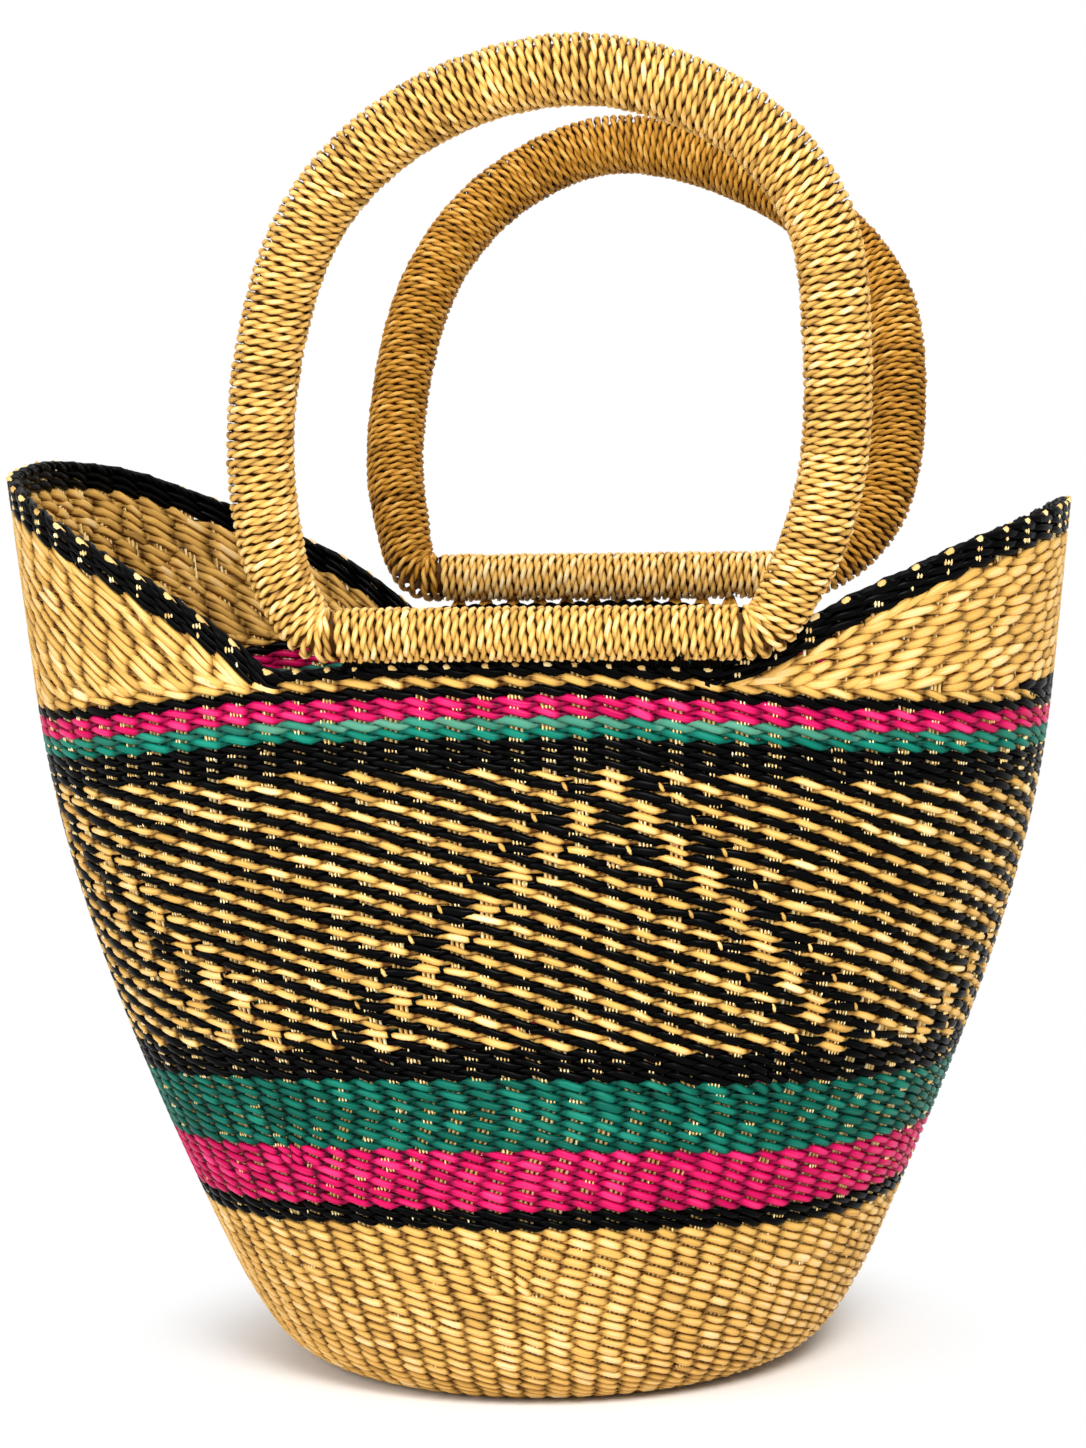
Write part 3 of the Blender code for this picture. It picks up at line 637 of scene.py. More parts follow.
SLIGHT_FADING, STRONG_FADING = 0.1, 0.8
FADED_FROM, FADED_TO = -90 * MM, 130 * MM


def fade_front(straw_line):
    """Fades one straw's stitches unevenly along the front, and the others slightly."""
    x, y, _ = straw_line["points"].T
    stitch = np.floor(np.arange(len(x)) / sum(ROW_STEPS)).astype(int)
    fading = chance.uniform(SLIGHT_FADING, STRONG_FADING, stitch.max() + 1)[stitch]
    front = (y < 0) & (x > FADED_FROM) & (x < FADED_TO)
    straw_line["faded"] = np.where(front, fading, SLIGHT_FADING)


NATURAL_PLUMP = 1.08
DARK_STAKES = 4
tip_row = []
for band, count, material, slot, _ in BANDS:
    if material is None:
        continue
    rows = plain_rows(band_starts[band], count, NATURAL_PLUMP if material is natural_straw else 1.0)
    if band == "upper_natural_row":
        # The whole row is dropped for one with a black tip. Its draws keep later stitches as they are.
        middle = band_starts[band] + ROW_PITCH / 2
        spans = (DARK_STAKES - 1, STAKES - 2 * DARK_STAKES + 2)
        rows = twine(level_row(middle), spans, every_other, middle)
        tip_row = twine(level_row(middle), (-DARK_STAKES, 2 * DARK_STAKES), every_other, middle)
    if band == "upper_green_band":
        for straw_line in rows[-2:]:
            fade_front(straw_line)
    straw_piece(band + "_twining", rows, material, slot, band)

# %% [markdown]
# The base is twined in the same way from the ends of two crossing bundles outward. Its rows are small
# and mostly out of sight, so they take fewer points.

# %% Base
base_rows = int(round((band_starts["lower_natural_band"] - BASE_START) / ROW_PITCH))
base = plain_rows(BASE_START, base_rows, steps=(4, 3))
straw_piece("base_twining", base, natural_straw, "natural_straw", "base_weft", sides=5)

RAFT_RADIUS = 19.8 * MM
RAFT_BUNDLES = 7
STRAWS_PER_BUNDLE = 4
RAFT_STRAWS = RAFT_BUNDLES * STRAWS_PER_BUNDLE
RAFT_POINTS = 8
RAFT_OUTLINE = np.array([0.3] + [1.0] * (RAFT_POINTS - 2) + [0.3])


def raft(name, node, height, turned):
    """Seven bundles of straw side by side, cut to a round."""
    strands = []
    wide = 2 * RAFT_RADIUS / RAFT_STRAWS
    for number in range(RAFT_STRAWS):
        across = -RAFT_RADIUS + (number + 0.5) * wide
        reach = math.sqrt(RAFT_RADIUS**2 - across**2)
        bundle_share = (number % STRAWS_PER_BUNDLE + 0.5) / STRAWS_PER_BUNDLE
        crown = 0.35 * MM * math.sin(math.pi * bundle_share)
        along = np.linspace(-reach, reach, RAFT_POINTS)
        wobble = np.cumsum(chance.normal(0, 0.08 * MM, RAFT_POINTS))
        level = np.full(RAFT_POINTS, height + crown)
        points = np.stack([along, across + wobble, level], axis=-1)
        if turned:
            points = points[:, (1, 0, 2)]
        tall = RAFT_OUTLINE * wide * 0.62
        tone = chance.normal(0.5, 0.12)
        strands.append(strand(points, AXIS_X if turned else AXIS_Y, AXIS_Z, tall, 0.95 * MM, tone))
    straw_piece(name, strands, stake_straw, "natural_straw", node)


raft("start_raft_under", "base_start_under", 1.15 * MM, False)
raft("start_raft_over", "base_start_over", 4.15 * MM, True)

# %% [markdown]
# Each stake is a bundle of split straws, pressed flat by the twining. What shows of it is a glint of
# gold deep between two stitches. A flat strip would look cut from paper there, and all its straws
# would be heavy, so three thin straws side by side run up each stake.

# %% Stakes
STAKE_RIBS = 3
STAKE_STEP = 12 * MM
CURVED_TO = 60 * MM
STAKE_WIDTH, STAKE_ROOM_SHARE = 5.4 * MM, 0.54
RIB_REACH = 1.05 * MM


def stake_strip(number):
    """The way up one stake: its turns, slants and share of the round."""
    low = max(BASE_START, STAKE_STARTS[number] + SHOWS_FROM * ADDED_GROWTH)
    curved = np.arange(low, CURVED_TO, STAKE_STEP / 2)
    levels = np.append(curved, np.arange(max(low, CURVED_TO), WALL_SLANT, STAKE_STEP))
    turns, rooms = [], []
    for level in levels:
        room = stake_room(level)
        turns.append(crowded(stake_middles(level)[number], level))
        rooms.append(room[number] / room.sum())
    top = rim_slant(turns[-1]) - 2.2 * MM
    levels = np.append(levels, np.append(np.arange(WALL_SLANT, top, STAKE_STEP), top))
    beyond = len(levels) - len(turns)
    return np.append(turns, [turns[-1]] * beyond), levels, np.append(rooms, [rooms[-1]] * beyond)


def stake_straws():
    """Every stake's split straws."""
    strands = []
    for number in range(STAKES):
        turns, levels, rooms = stake_strip(number)
        point, up, out = wall_frame(turns, levels)
        sideways = unit(np.cross(up, out))
        room = wall_point(turns + rooms / 2, levels) - wall_point(turns - rooms / 2, levels)
        width = np.minimum(STAKE_WIDTH, np.linalg.norm(room, axis=1) * STAKE_ROOM_SHARE)
        for rib in range(STAKE_RIBS):
            offset = (rib + 0.5) / STAKE_RIBS - 0.5 + chance.normal(0, 0.02)
            spot = point + sideways * (offset * width)[:, None]
            tall = width / STAKE_RIBS * 0.4
            reach = RIB_REACH * chance.uniform(0.85, 1.05)
            tone = chance.normal(0.68, 0.16)
            strands.append(strand(spot, sideways, out, tall, reach, tone))
    return strands


straw_piece("stake_straws", stake_straws(), stake_straw, "natural_straw", "stakes", sides=4)

# %% [markdown]
# Where two rows leave a little room, the split straws push out between them as one to four small pale
# dots. The photograph shows them most in the dark bands near the rim and hardly at all low down, so
# each band has its own chance of dots, in the table of bands above.

# %% Dots between the rows
DOT_SPACING = 1.3 * MM
DOT_OUTLINE = np.array([0.55, 1.0, 0.55])
DOTS_AT_A_STITCH = (1, 2, 2, 3, 3, 4)
# How far a dot's middle stands out of the wall, and its half width and half height
WALL_DOT = (1.95 * MM, 0.4 * MM, 0.75 * MM)
BORDER_DOT = (2.2 * MM, 0.55 * MM, 0.95 * MM)


def dot_cluster(turn, slant, count, depth, half_width, half_height):
    """A few ends of split straw side by side, standing out of the wall."""
    heights = half_height * chance.uniform(0.7, 1.2, count)
    slants = slant + row_wander(turn, slant) + np.linspace(-1, 1, 3)[:, None] * heights
    point, up, out = wall_frame(np.full(slants.shape, turn), slants)
    sideways = unit(np.cross(up, out))
    dots = []
    for dot in range(count):
        across = (dot - (count - 1) / 2) * DOT_SPACING
        line = point[:, dot] + sideways[:, dot] * across + out[:, dot] * depth
        wide = DOT_OUTLINE * half_width
        tone = chance.normal(0.75, 0.2)
        dots.append(strand(line, sideways[:, dot], out[:, dot], wide, 1.3 * wide, tone))
    return dots


def straw_dots():
    strands = []
    for band, count, _, _, dotted in BANDS:
        for row in range(count if dotted else 0):
            slant = band_starts[band] + row * ROW_PITCH
            edges = stitch_edges(slant)[1]
            shares = (edges[:-1] + edges[1:]) / 2
            for share in shares[chance.uniform(0, 1, len(shares)) < dotted]:
                turn = crowded(share + chance.normal(0, 0.001), slant)
                dots = int(chance.choice(DOTS_AT_A_STITCH))
                strands += dot_cluster(turn, slant, dots, *WALL_DOT)
    return strands


straw_piece("stake_dots", straw_dots(), stake_straw, "natural_straw", sides=4)

# %% [markdown]
# The wide band is twined with one natural and one black straw. Because a round has an odd number of
# half twists, the colours change places from row to row, and the leaning stitches join into stripes
# that run downhill. Every third row the weaver gives an extra half twist at a few places. There the
# colours swap back, three stitches of one colour stand in a column, and a small nub of the other straw
# shows. These places move outward row by row and draw nested chevrons, a traditional pattern.

# %% Pattern band
CHEVRONS = 4
CHEVRON_SPACING = STAKES // CHEVRONS
CHEVRON_APEX = 66
STEP_ROWS = 3
OUTER_FROM_ROW, INNER_FROM_ROW = 1, 7


def is_swapped(stakes, row):
    """Whether an extra half twist has swapped the colours at stakes, in a row from the top."""
    if row % STEP_ROWS != OUTER_FROM_ROW:
        return np.zeros(len(stakes), bool)
    half = CHEVRON_SPACING // 2
    offset = (stakes - CHEVRON_APEX + half) % CHEVRON_SPACING - half
    inside = np.abs(offset) < 1.5 + (row - OUTER_FROM_ROW) / STEP_ROWS
    steps = (row - INNER_FROM_ROW) / STEP_ROWS
    if steps >= 0:
        inside &= ~((offset > -1.5 - steps) & (offset < 0.5 + steps))
    return inside


NUB_HALF_TURN = 0.00135
NUB_TALL, NUB_THICK = 1.35 * MM, 0.8 * MM


def nub(share, slant, nominal):
    """The little piece of straw that shows where the colours swap."""
    t = np.linspace(-1, 1, 5)
    turn = crowded(share, nominal) + t * NUB_HALF_TURN
    slants = slant + row_wander(turn, slant) - t * 1.25 * MM
    point, up, out = wall_frame(turn, slants)
    bulge = np.sqrt(np.clip(1 - t**2, 0.02, 1))
    depth = (0.9 + 1.0 * bulge) * MM
    tone = chance.normal(0.55, 0.15)
    return strand(point + out * depth[:, None], up, out, NUB_TALL * bulge, NUB_THICK * bulge, tone)


natural_rows, black_rows = [], []
for row in range(PATTERN_ROWS):
    middle = band_starts["pattern_band"] + (PATTERN_ROWS - row - 0.5) * ROW_PITCH
    present, edges = stitch_edges(middle)
    swapped = is_swapped(present, row)
    over = ((present + row) % 2 == 0) ^ swapped
    natural, black = twine(level_row(middle), None, over, middle, plump=(0.9, 1.12))
    natural_rows.append(natural)
    black_rows.append(black)
    for at in np.flatnonzero(over == np.roll(over, 1)):
        piece = nub(edges[at], middle, middle)
        (black_rows if over[at] else natural_rows).append(piece)
straw_piece("pattern_natural_twining", natural_rows, natural_straw, "natural_straw", "pattern_band")
straw_piece("pattern_black_twining", black_rows, black_straw, "black_straw", "pattern_band")

# %% [markdown]
# The wings are built up with short rows. Each turns back round a stake, so along the black row under
# the wing they end in little rounded loops. On the left they lie parallel to the rim, and on the
# right they climb more gently, so that the border cuts across them. A short black stretch of the
# lowest row, over the black tip of the natural row, makes the stepped wedge at the right wing's foot.

# %% Wings
RIM_EDGES = stitch_edges(WALL_SLANT)[1]
RIM_MIDDLES = (RIM_EDGES[1:] + RIM_EDGES[:-1]) / 2
HALF_WING_STAKES = 26
WING_PLUMP = (1.25, 1.25)


def wing_rows(middle_share, row_share, lean, dark_rows=0):
    """Short rows of one wing. row_share says how steeply they follow the rim's rise."""
    natural, dark = [], []
    centre = int(round(middle_share * STAKES))
    index = np.arange(centre - HALF_WING_STAKES, centre + HALF_WING_STAKES + 1)
    turns = crowded(RIM_EDGES[index % STAKES], WALL_SLANT)
    rise = weave_slant(turns) - WALL_SLANT
    lowest = -row_share * rise.max()
    rows = int(rise.max() / ROW_PITCH)
    for number in range(rows):
        level = lowest + (number + 0.5) * ROW_PITCH

        def slant_at(turn, level=level):
            up = weave_slant(turn) - WALL_SLANT
            margin = np.minimum(0.45 * ROW_PITCH, up / 2)
            return WALL_SLANT + np.clip(row_share * up + level, margin, up - margin)

        free = row_share * rise + level
        inside = index[(free > 0) & (free < rise) & (rise > 0.5 * ROW_PITCH)]
        if len(inside) < 2:
            continue
        spans = (int(inside[0]) - 1, int(inside[-1] - inside[0]) + 2)
        low, high = spans[0], sum(spans)
        parts = [((low, high - low), natural)]
        if number < dark_rows:
            reach = DARK_STAKES - number
            dark_low, dark_high = max(low, centre - reach), min(high, centre + reach)
            parts = [
                ((low, dark_low - low), natural),
                ((dark_low, dark_high - dark_low), dark),
                ((dark_high, high - dark_high), natural),
            ]
        for part, target in parts:
            if part[1] > 0:
                loose = {"jog_size": 0.12, "row_shift": 0.2}
                target += twine(slant_at, part, every_other, WALL_SLANT, lean, WING_PLUMP, **loose)
    return natural, dark


left_rows, _ = wing_rows(middle_share=0.5, row_share=0.85, lean=1.45)
right_rows, dark_rows = wing_rows(middle_share=0.0, row_share=0.32, lean=-0.65, dark_rows=1)
straw_piece("left_wing_twining", left_rows, natural_straw, "natural_straw", "left_wing")
straw_piece("right_wing_twining", right_rows, natural_straw, "natural_straw", "right_wing")
straw_piece("right_wing_dark_rows", dark_rows + tip_row, black_straw, "black_straw")

# %% [markdown]
# The border is black twining that follows the rim, three rows on the wings and one along the handles,
# under a rolled edge. The stakes' split ends show between its rows as small natural squares, and at
# each stake one straw comes over the edge as a short natural arch.

# %% Border
BORDER_PITCH = 3.5 * MM
BORDER_DROP = 0.2 * MM
EDGE_POINTS = 16
ROLL_SINK, LIFT_UNDER_BAR, BAR_HALF_TURN = 1.7 * MM, 1.3 * MM, 0.06
ROLL_TALL, ROLL_THICK = 1.3 * MM, 1.2 * MM
ARCH_HALF_TURN = 0.0031
ARCH_SINK, ARCH_RISE, ARCH_OUT = 2.3 * MM, 2.1 * MM, 2.0 * MM
ARCH_TALL, ARCH_THICK = 1.35 * MM, 1.05 * MM


def border_rows():
    strands = []
    turns = crowded(RIM_EDGES, WALL_SLANT)
    for row in range(3):
        below = (row + 0.5) * BORDER_PITCH + BORDER_DROP

        def slant_at(turn, below=below):
            return rim_slant(turn) - below

        if row == 0:
            strands += twine(slant_at, None, every_other, WALL_SLANT, plump=(1.22, 1.22))
            continue
        fits = slant_at(turns) > WALL_SLANT + 0.2 * ROW_PITCH
        starts = [k for k in range(STAKES) if fits[k] and not fits[k - 1]]
        for first in starts:
            count = 0
            while fits[(first + count + 1) % STAKES]:
                count += 1
            spans = (first - 1, count + 2)
            strands += twine(slant_at, spans, every_other, WALL_SLANT, plump=(1.12, 1.12))
    return strands


def rolled_edge():
    """Two black straws wound along the rim's edge, one twist for each stake."""
    turns = np.linspace(0, 1, STAKES * EDGE_POINTS, endpoint=False)
    wound = turns * STAKES * 2 * math.pi
    under_bar = np.exp(-(((turns % 0.5 - 0.25) / BAR_HALF_TURN) ** 8))
    rim = rim_slant(turns)
    slants = rim + row_wander(turns, rim) - ROLL_SINK + LIFT_UNDER_BAR * under_bar
    point, up, out = wall_frame(turns, slants)
    strands = []
    for phase in (0.0, math.pi):
        lift = np.cos(wound + phase)
        side = np.sin(wound + phase)
        line = point + up * (lift * 0.9 * MM)[:, None] + out * (side * 1.5 * MM)[:, None]
        tone = 0.5 + 0.3 * np.sin(turns * 900)
        strands.append(strand(line, up, out, ROLL_TALL, ROLL_THICK, tone, closed=True))
    return strands


def edge_arches():
    """One natural straw at each stake that comes up through the border and lies over its edge."""
    strands = []
    for middle in RIM_MIDDLES:
        share = middle + chance.normal(0, 0.0007)
        t = np.linspace(-1, 1, 7)
        turn = crowded(share, WALL_SLANT) + t * ARCH_HALF_TURN * chance.uniform(0.75, 1.1)
        rise = 1 - t**2
        rim = rim_slant(turn)
        slants = rim + row_wander(turn, rim) - ARCH_SINK + ARCH_RISE * rise
        point, up, out = wall_frame(turn, slants)
        line = point + out * (ARCH_OUT * rise - 0.2 * MM)[:, None]
        body = np.sqrt(np.clip(rise, 0.06, 1.0))
        tone = chance.normal(0.6, 0.14)
        strands.append(strand(line, up, out, ARCH_TALL * body, ARCH_THICK * body, tone))
    return strands


def border_squares():
    """The split ends of the stakes between the border's rows, one to three to a stake."""
    strands = []
    for middle in RIM_MIDDLES:
        for line in (1, 2):
            turn = crowded(middle + chance.normal(0, 0.0008), WALL_SLANT)
            slant = rim_slant(turn) - (line * BORDER_PITCH + BORDER_DROP)
            if slant < WALL_SLANT + 2 * MM or chance.uniform() > 0.8:
                continue
            count = int(chance.integers(1, 4))
            strands += dot_cluster(turn, slant, count, *BORDER_DOT)
    return strands


border = border_rows() + rolled_edge()
straw_piece("border_twining", border, black_straw, "black_straw", "rim_border")
natural_ends = edge_arches() + border_squares()
straw_piece("border_natural_ends", natural_ends, stake_straw, "natural_straw")

# %% [markdown]
# A handle is a hoop of bundled straw, wound all over with a two-ply straw cord. The hoop stands on
# the rim on a straight bar. The cord could be one tube with a twisted texture, but its strings of
# small leaf-shaped turns are what one sees, so both plies are modelled, one turn every 3 mm.

# %% Handle line
HANDLE_SHIFT = 16 * MM
HANDLE_HALF_WIDTH = 103 * MM
HANDLE_HEIGHT = 198 * MM
BAR_LEFT, BAR_RIGHT = -0.72 * HANDLE_HALF_WIDTH, 0.69 * HANDLE_HALF_WIDTH
BAR_OUTWARD, BAR_HEIGHT = 129.35 * MM, 290.81 * MM
BAR_SEAM_SHARES = (0.27, 0.50, 0.85)
BAR_END_RUN = 4 * MM
BAR_CORE_RADIUS, LEG_CORE_RADIUS, TOP_CORE_RADIUS = 7.2 * MM, 9.6 * MM, 10.4 * MM
BACK_LEAN = math.radians(26.0)
BAR_MIDDLE = {
    "front": np.array((HANDLE_SHIFT, -BAR_OUTWARD, BAR_HEIGHT)),
    "back": np.array((HANDLE_SHIFT, BAR_OUTWARD, BAR_HEIGHT)),
}
HOOP_SHARES = {
    "front": (
        (0.87, 0.085),
        (1.00, 0.26),
        (1.03, 0.50),
        (0.97, 0.74),
        (0.70, 0.91),
        (0.20, 1.00),
        (-0.34, 0.94),
        (-0.75, 0.76),
        (-0.945, 0.47),
        (-0.955, 0.21),
        (-0.875, 0.065),
    ),
    "back": (
        (0.90, 0.04),
        (1.06, 0.16),
        (1.12, 0.42),
        (1.05, 0.65),
        (0.78, 0.83),
        (0.29, 0.98),
        (-0.14, 1.01),
        (-0.55, 0.90),
        (-0.82, 0.70),
        (-0.935, 0.40),
        (-0.91, 0.16),
    ),
}


HOOP_POINTS = 3000
HOOP_SPANS = 27


def hoop_curve(shares):
    """A fine smooth line through the hoop's points, from the bar's right end to its left end."""
    at = [(BAR_RIGHT + BAR_END_RUN, 0.0)]
    at += [(across * HANDLE_HALF_WIDTH, up * HANDLE_HEIGHT) for across, up in shares]
    at = np.array(at + [(BAR_LEFT - BAR_END_RUN, 0.0)])
    knots = np.append(0.0, np.cumsum(np.hypot(*np.diff(at, axis=0).T) ** 0.5))
    slopes = np.gradient(at, knots, axis=0, edge_order=1)
    slopes[0] = np.array([np.linalg.norm(at[1] - at[0]), 0.0]) / (knots[1] - knots[0])
    slopes[-1] = np.array([np.linalg.norm(at[-1] - at[-2]), 0.0]) / (knots[-1] - knots[-2])
    fine = np.linspace(0.0, knots[-1], HOOP_POINTS)
    piece = np.clip(np.searchsorted(knots, fine, side="right") - 1, 0, len(knots) - 2)
    width = (knots[piece + 1] - knots[piece])[:, None]
    s = (fine - knots[piece])[:, None] / width
    return (
        (2 * s**3 - 3 * s**2 + 1) * at[piece]
        + (s**3 - 2 * s**2 + s) * width * slopes[piece]
        + (3 * s**2 - 2 * s**3) * at[piece + 1]
        + (s**3 - s**2) * width * slopes[piece + 1]
    )


def core_radius(share):
    """The hoop's radius along it: slim in the bar, fuller on the legs, fullest at the top."""
    number = np.arange(HOOP_SPANS + 1)
    at = number / HOOP_SPANS - 0.5 * np.sin(2 * math.pi * number / HOOP_SPANS) / (2 * math.pi)
    place = np.interp(share, at, number)
    from_end = np.minimum(place, HOOP_SPANS - place)
    stages = (0, 4, HOOP_SPANS / 2)
    return np.interp(from_end, stages, (BAR_CORE_RADIUS, LEG_CORE_RADIUS, TOP_CORE_RADIUS))


print("hoop height, mm", round(float(hoop_curve(HOOP_SHARES["front"])[:, 1].max()) / MM, 1))

# %% [markdown]
# The cord runs close round the hoop like a thread on a screw, and its two plies run round each other
# on that way. Each turn slips a little, as on a hand-wound grip. The plies are filled in as arrays
# like the stitches. The cord on a bar doesn't turn with the hoop, so it has a little room round it.

# %% Wound cord
TURN_PITCH = 3.0 * MM
HALF_TWIST = 6.5 * MM
PLY_SWING = 0.7 * MM
PLY_HEIGHT = 1.25 * MM
PLY_THICK = 0.84 * MM
TURN_SLIP = 0.13 * MM
TURN_TONES, PLY_TONES, SLOW_TONES, PAINTED_TWIST_SHADE = 0.06, 0.08, 0.12, 0.55
TURNING_ROOM = 0.35 * MM
BAR_POINTS = 20


def wound_cord(middles, along, radii, twist, usual_tone, steps_per_turn=28):
    """Two plies wound round a line. along is the way along it at each of its points."""
    turns = (along[-1] - along[0]) / TURN_PITCH
    count = int(turns * steps_per_turn)
    way = np.linspace(along[0], along[-1], count)
    middle = np.stack([np.interp(way, along, middles[:, axis]) for axis in range(3)], axis=-1)
    tangent = unit(np.gradient(middle, axis=0))
    across = unit(np.cross(AXIS_Y, tangent))
    wound = 2 * math.pi * (way - way[0]) / TURN_PITCH
    number = (wound // (2 * math.pi)).astype(int)
    uneven = chance.normal(0, TURN_SLIP, number.max() + 2)
    slip = np.interp(wound / (2 * math.pi), np.arange(len(uneven)), uneven)
    radius = np.interp(way, along, radii) + PLY_HEIGHT + 0.6 * slip
    radial = across * np.cos(wound)[:, None] + AXIS_Y * np.sin(wound)[:, None]
    cord = np.cumsum(radius) * (wound[1] - wound[0])
    turn_tone = chance.normal(0, TURN_TONES, number.max() + 2)
    strands = []
    for phase in (0.0, math.pi):
        twisted = twist * math.pi * cord / HALF_TWIST + phase + 0.7 * np.sin(wound * 0.37)
        swing = tangent * (np.cos(twisted) * PLY_SWING + slip)[:, None]
        swing = swing + radial * (np.sin(twisted) * PLY_SWING * 0.9)[:, None]
        tall = (0.98 + 0.14 * np.sin(twisted)) * MM
        ends = np.clip(np.minimum(np.arange(count), np.arange(count)[::-1]) / 3, 0.1, 1.0)
        stitch = np.floor(twisted / math.pi).astype(int)
        mood = chance.normal(0, PLY_TONES, stitch.max() - stitch.min() + 1)[stitch - stitch.min()]
        slow = SLOW_TONES * np.sin(way / (31 * MM) + phase) * np.sin(way / (12 * MM))
        # Painted shade: each ply is darker where its twist takes it in towards the core.
        painted_shade = PAINTED_TWIST_SHADE * (1 - np.sin(twisted)) / 2
        tone = usual_tone + slow + turn_tone[number] + mood - painted_shade
        line = middle + radial * radius[:, None] + swing
        strands.append(strand(line, tangent, radial, tall * ends, PLY_THICK * ends, tone))
    return strands


# The back bar's cord has a higher tone than the front bar's: painted light that brightens it.
for side, cord_straw, slot, bar_tone in (
    ("front", natural_straw, "natural_straw", 0.74),
    # The back handle's cord takes the straw with painted shade.
    ("back", shaded_straw, "shaded_straw", 0.86),
):
    curve = hoop_curve(HOOP_SHARES[side])
    run_in = np.linspace(BAR_END_RUN - CLEARANCE, 0.0, 12, endpoint=False)[:, None] * (1.0, 0.0)
    curve = np.concatenate([curve[0] - run_in, curve, (curve[-1] + run_in)[::-1]])
    curve = np.stack([curve[:, 0], np.zeros(len(curve)), curve[:, 1]], axis=-1)
    way = np.append(0.0, np.cumsum(np.linalg.norm(np.diff(curve, axis=0), axis=1)))
    cord = wound_cord(curve, way, core_radius(way / way[-1]), twist=-1.0, usual_tone=0.69)
    lean = np.array(Matrix.Rotation(0.0 if side == "front" else -BACK_LEAN, 3, "X"))
    for ply in cord:
        ply["points"] = ply["points"] @ lean.T + BAR_MIDDLE[side]
        ply["up"] = ply["up"] @ lean.T
        ply["out"] = ply["out"] @ lean.T
    body = side + "_handle"
    straw_piece(body + "_cord", cord, cord_straw, slot, body + "_wrap", body=body, sides=5)
    shares = (0.0, *BAR_SEAM_SHARES, 1.0)
    radii = np.full(BAR_POINTS, BAR_CORE_RADIUS + TURNING_ROOM)
    for number, (low, high) in enumerate(zip(shares, shares[1:]), start=1):
        ends = BAR_LEFT + (BAR_RIGHT - BAR_LEFT) * np.array((low, high))
        line = np.linspace(ends[0], ends[1], BAR_POINTS)
        bar = line[:, None] * AXIS_X
        cord = wound_cord(bar, line, radii, twist=1.0, usual_tone=bar_tone, steps_per_turn=24)
        for ply in cord:
            ply["points"] = ply["points"] + BAR_MIDDLE[side]
        name = f"{side}_bar_cord_{number}"
        wrapped = f"{side}_bar_wrap_{number}"
        straw_piece(name, cord, natural_straw, "natural_straw", wrapped, sides=5)

# %% [markdown]
# Under each bar the ends of the stakes reach up from the rim and hold it. At the back they show as
# small fans of straw, wide at the rim and narrow at the bar, with daylight between them. In front the
# bar sits close on the rim, and the ends there are drawn black.

# %% Stake ends under the bars
END_RADIUS = 0.7 * MM
BAR_UNDERSIDE = 8.4 * MM


def stake_ends(side, straws, foot_width, top_width):
    """Fans of straw from the rim to the bar, one at each stake."""
    strands = []
    turns = crowded(RIM_MIDDLES, WALL_SLANT)
    feet = wall_point(turns, rim_slant(turns) - 1.5 * MM)
    axis = BAR_MIDDLE[side]
    low, high = BAR_LEFT + axis[0], BAR_RIGHT + axis[0]
    for foot, turn in zip(feet, turns):
        on_side = (turn > 0.5) == (side == "front")
        if not on_side or not low < foot[0] < high or wing_rise(turn) > 1 * MM:
            continue
        for number in range(straws):
            spread = 2 * number / (straws - 1) - 1
            t = np.linspace(0, 1, 4)[:, None]
            start = foot + spread * foot_width * AXIS_X
            end = np.array((foot[0] + spread * top_width, axis[1], axis[2] - BAR_UNDERSIDE))
            line = start * (1 - t) + end * t
            tone = chance.normal(0.5, 0.15)
            strands.append(strand(line, AXIS_X, AXIS_Y, END_RADIUS, END_RADIUS, tone))
    return strands


front_ends = stake_ends("front", straws=9, foot_width=5.4 * MM, top_width=4.6 * MM)
back_ends = stake_ends("back", straws=6, foot_width=3.6 * MM, top_width=1.0 * MM)
straw_piece("front_bar_stake_ends", front_ends, black_straw, "black_straw", "front_bar_lashing")
# The fans under the back bar take the straw with painted shade.
straw_piece("back_bar_stake_ends", back_ends, shaded_straw, "shaded_straw", "back_bar_lashing")

# %% [markdown]
# A plain pale floor and soft light. Close to the basket the floor is matt and keeps its shadow, and
# further out it passes into the white of the background, so no horizon shows.

# %% Floor, light and background
def shown_white(tree):
    """1 where the ray comes from the camera, a reflection or through glass, and 0 for light."""
    rays = add_node(tree, "ShaderNodeLightPath")
    seen = add_node(
        tree,
        "ShaderNodeMath",
        {"operation": "MAXIMUM"},
        links={0: rays.outputs["Is Camera Ray"], 1: rays.outputs["Is Glossy Ray"]},
    )
    return add_node(
        tree,
        "ShaderNodeMath",
        {"operation": "MAXIMUM"},
        links={0: seen.outputs[0], 1: rays.outputs["Is Transmission Ray"]},
    ).outputs[0]


FLOOR_HALF, FLOOR_DROP = 6, 0.2 * MM
MATT_TO, WHITE_FROM = 0.085, 0.18
floor_mesh = bpy.data.meshes.new("floor")
corners = [(x * FLOOR_HALF, y * FLOOR_HALF, 0) for x, y in ((-1, -1), (1, -1), (1, 1), (-1, 1))]
floor_mesh.from_pydata(corners, [], [(0, 1, 2, 3)])
floor = bpy.data.objects.new("floor", floor_mesh)
bpy.context.scene.collection.objects.link(floor)
floor.location.z = -FLOOR_DROP
paper = bpy.data.materials.new("matt white paper")
paper.use_nodes = True
tree = paper.node_tree
matt = tree.nodes["Principled BSDF"]
matt.inputs["Base Color"].default_value = linear("FBFAF8")
matt.inputs["Roughness"].default_value = 0.9
matt.inputs["Specular IOR Level"].default_value = 0.1
spot = add_node(tree, "ShaderNodeTexCoord")
spot_links = {0: spot.outputs["Object"]}
away = add_node(tree, "ShaderNodeVectorMath", {"operation": "LENGTH"}, links=spot_links)
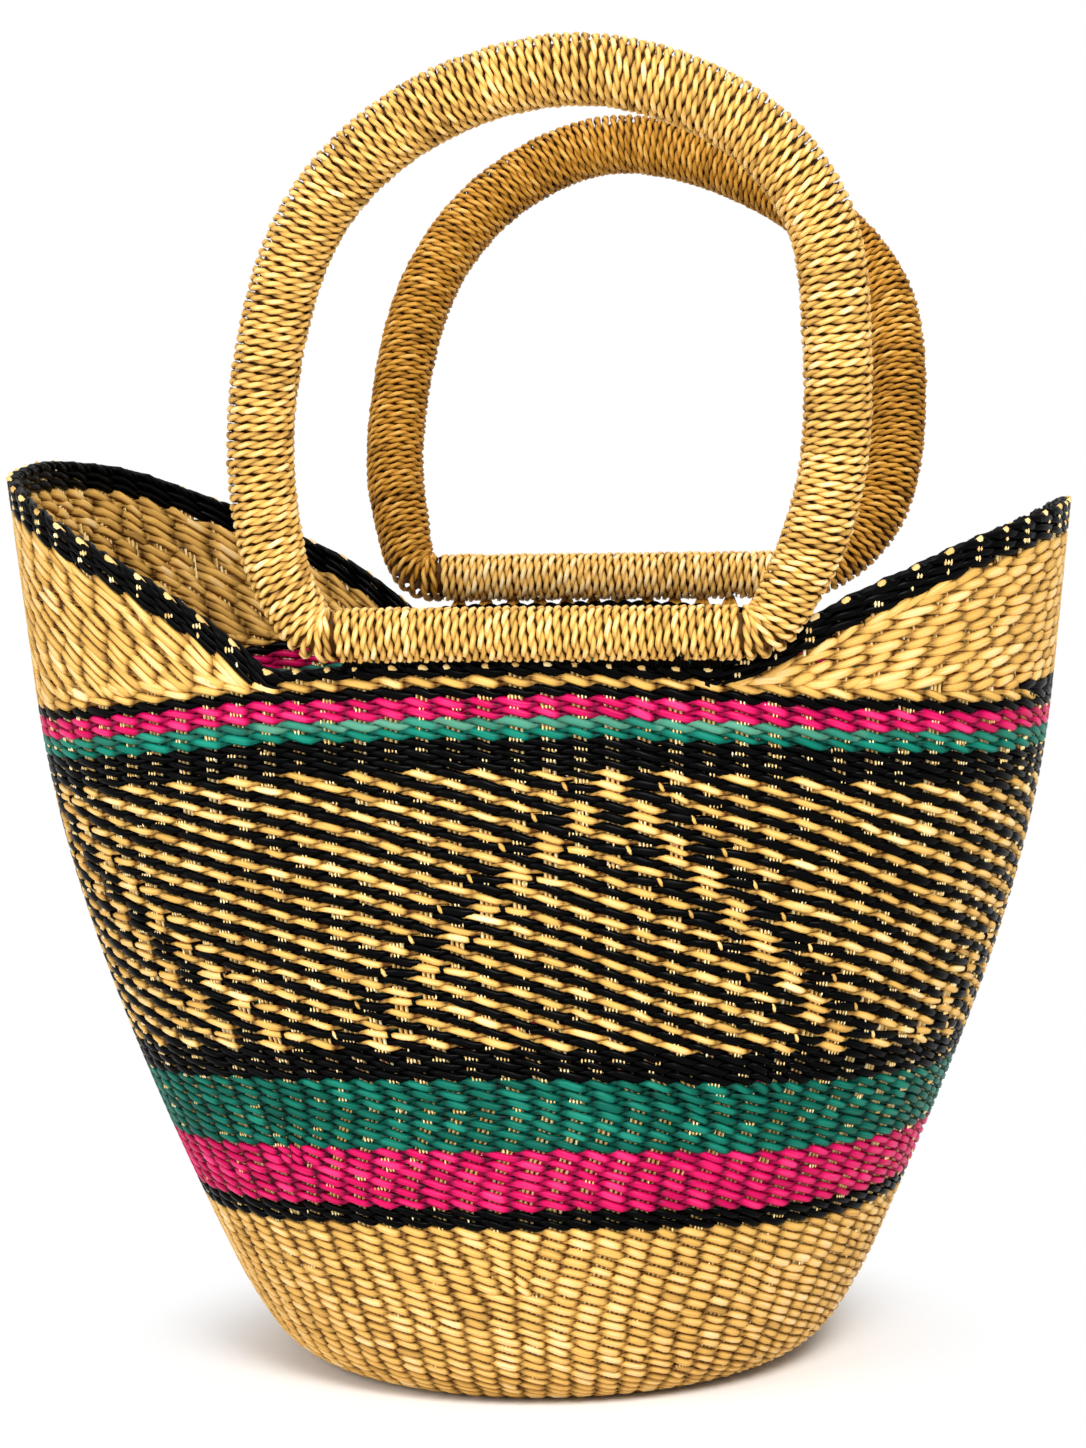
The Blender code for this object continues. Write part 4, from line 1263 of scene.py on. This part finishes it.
far = add_node(
    tree,
    "ShaderNodeMapRange",
    {"interpolation_type": "SMOOTHSTEP"},
    {"From Min": MATT_TO, "From Max": WHITE_FROM},
    {"Value": away.outputs["Value"]},
)
white_here = add_node(
    tree, "ShaderNodeMath", {"operation": "MULTIPLY"}, links={0: far.outputs[0], 1: shown_white(tree)}
)
glow = add_node(tree, "ShaderNodeEmission", values={"Color": (1, 1, 1, 1), "Strength": 1.0})
blend = add_node(
    tree,
    "ShaderNodeMixShader",
    links={0: white_here.outputs[0], 1: matt.outputs[0], 2: glow.outputs[0]},
)
tree.links.new(blend.outputs[0], tree.nodes["Material Output"].inputs["Surface"])
floor_mesh.materials.append(paper)

world = bpy.data.worlds.new("studio")
bpy.context.scene.world = world
world.use_nodes = True
tree = world.node_tree
ambient = tree.nodes["Background"]
ambient.inputs["Color"].default_value = (1.0, 1.0, 1.0, 1.0)
ambient.inputs["Strength"].default_value = 0.3
white = add_node(tree, "ShaderNodeBackground", values={"Color": (1, 1, 1, 1), "Strength": 1.0})
sky = add_node(
    tree,
    "ShaderNodeMixShader",
    links={0: shown_white(tree), 1: ambient.outputs[0], 2: white.outputs[0]},
)
tree.links.new(sky.outputs[0], tree.nodes["World Output"].inputs["Surface"])


def lamp(name, place, size, power):
    """A soft square lamp that looks at the basket."""
    light = bpy.data.lights.new(name, "AREA")
    light.energy = power
    light.size = size
    item = bpy.data.objects.new(name, light)
    bpy.context.scene.collection.objects.link(item)
    item.location = place
    item.rotation_euler = (Vector((0, 0, 0.2)) - Vector(place)).to_track_quat("-Z", "Y").to_euler()


lamp("key", (0.7, -1.7, 1.8), 0.9, 62.0)
lamp("fill", (-1.5, -1.5, 1.1), 1.2, 24.0)
lamp("top", (-0.2, 0.3, 2.2), 1.0, 13.0)
bpy.context.scene.view_settings.view_transform = "Standard"

# %% [markdown]
# The straw pieces made here are counted, with their triangles.

# %% Pieces and triangles
total = sum(len(item.data.polygons) * 2 for item in made_pieces)
print("pieces", len(made_pieces), "triangles", total)
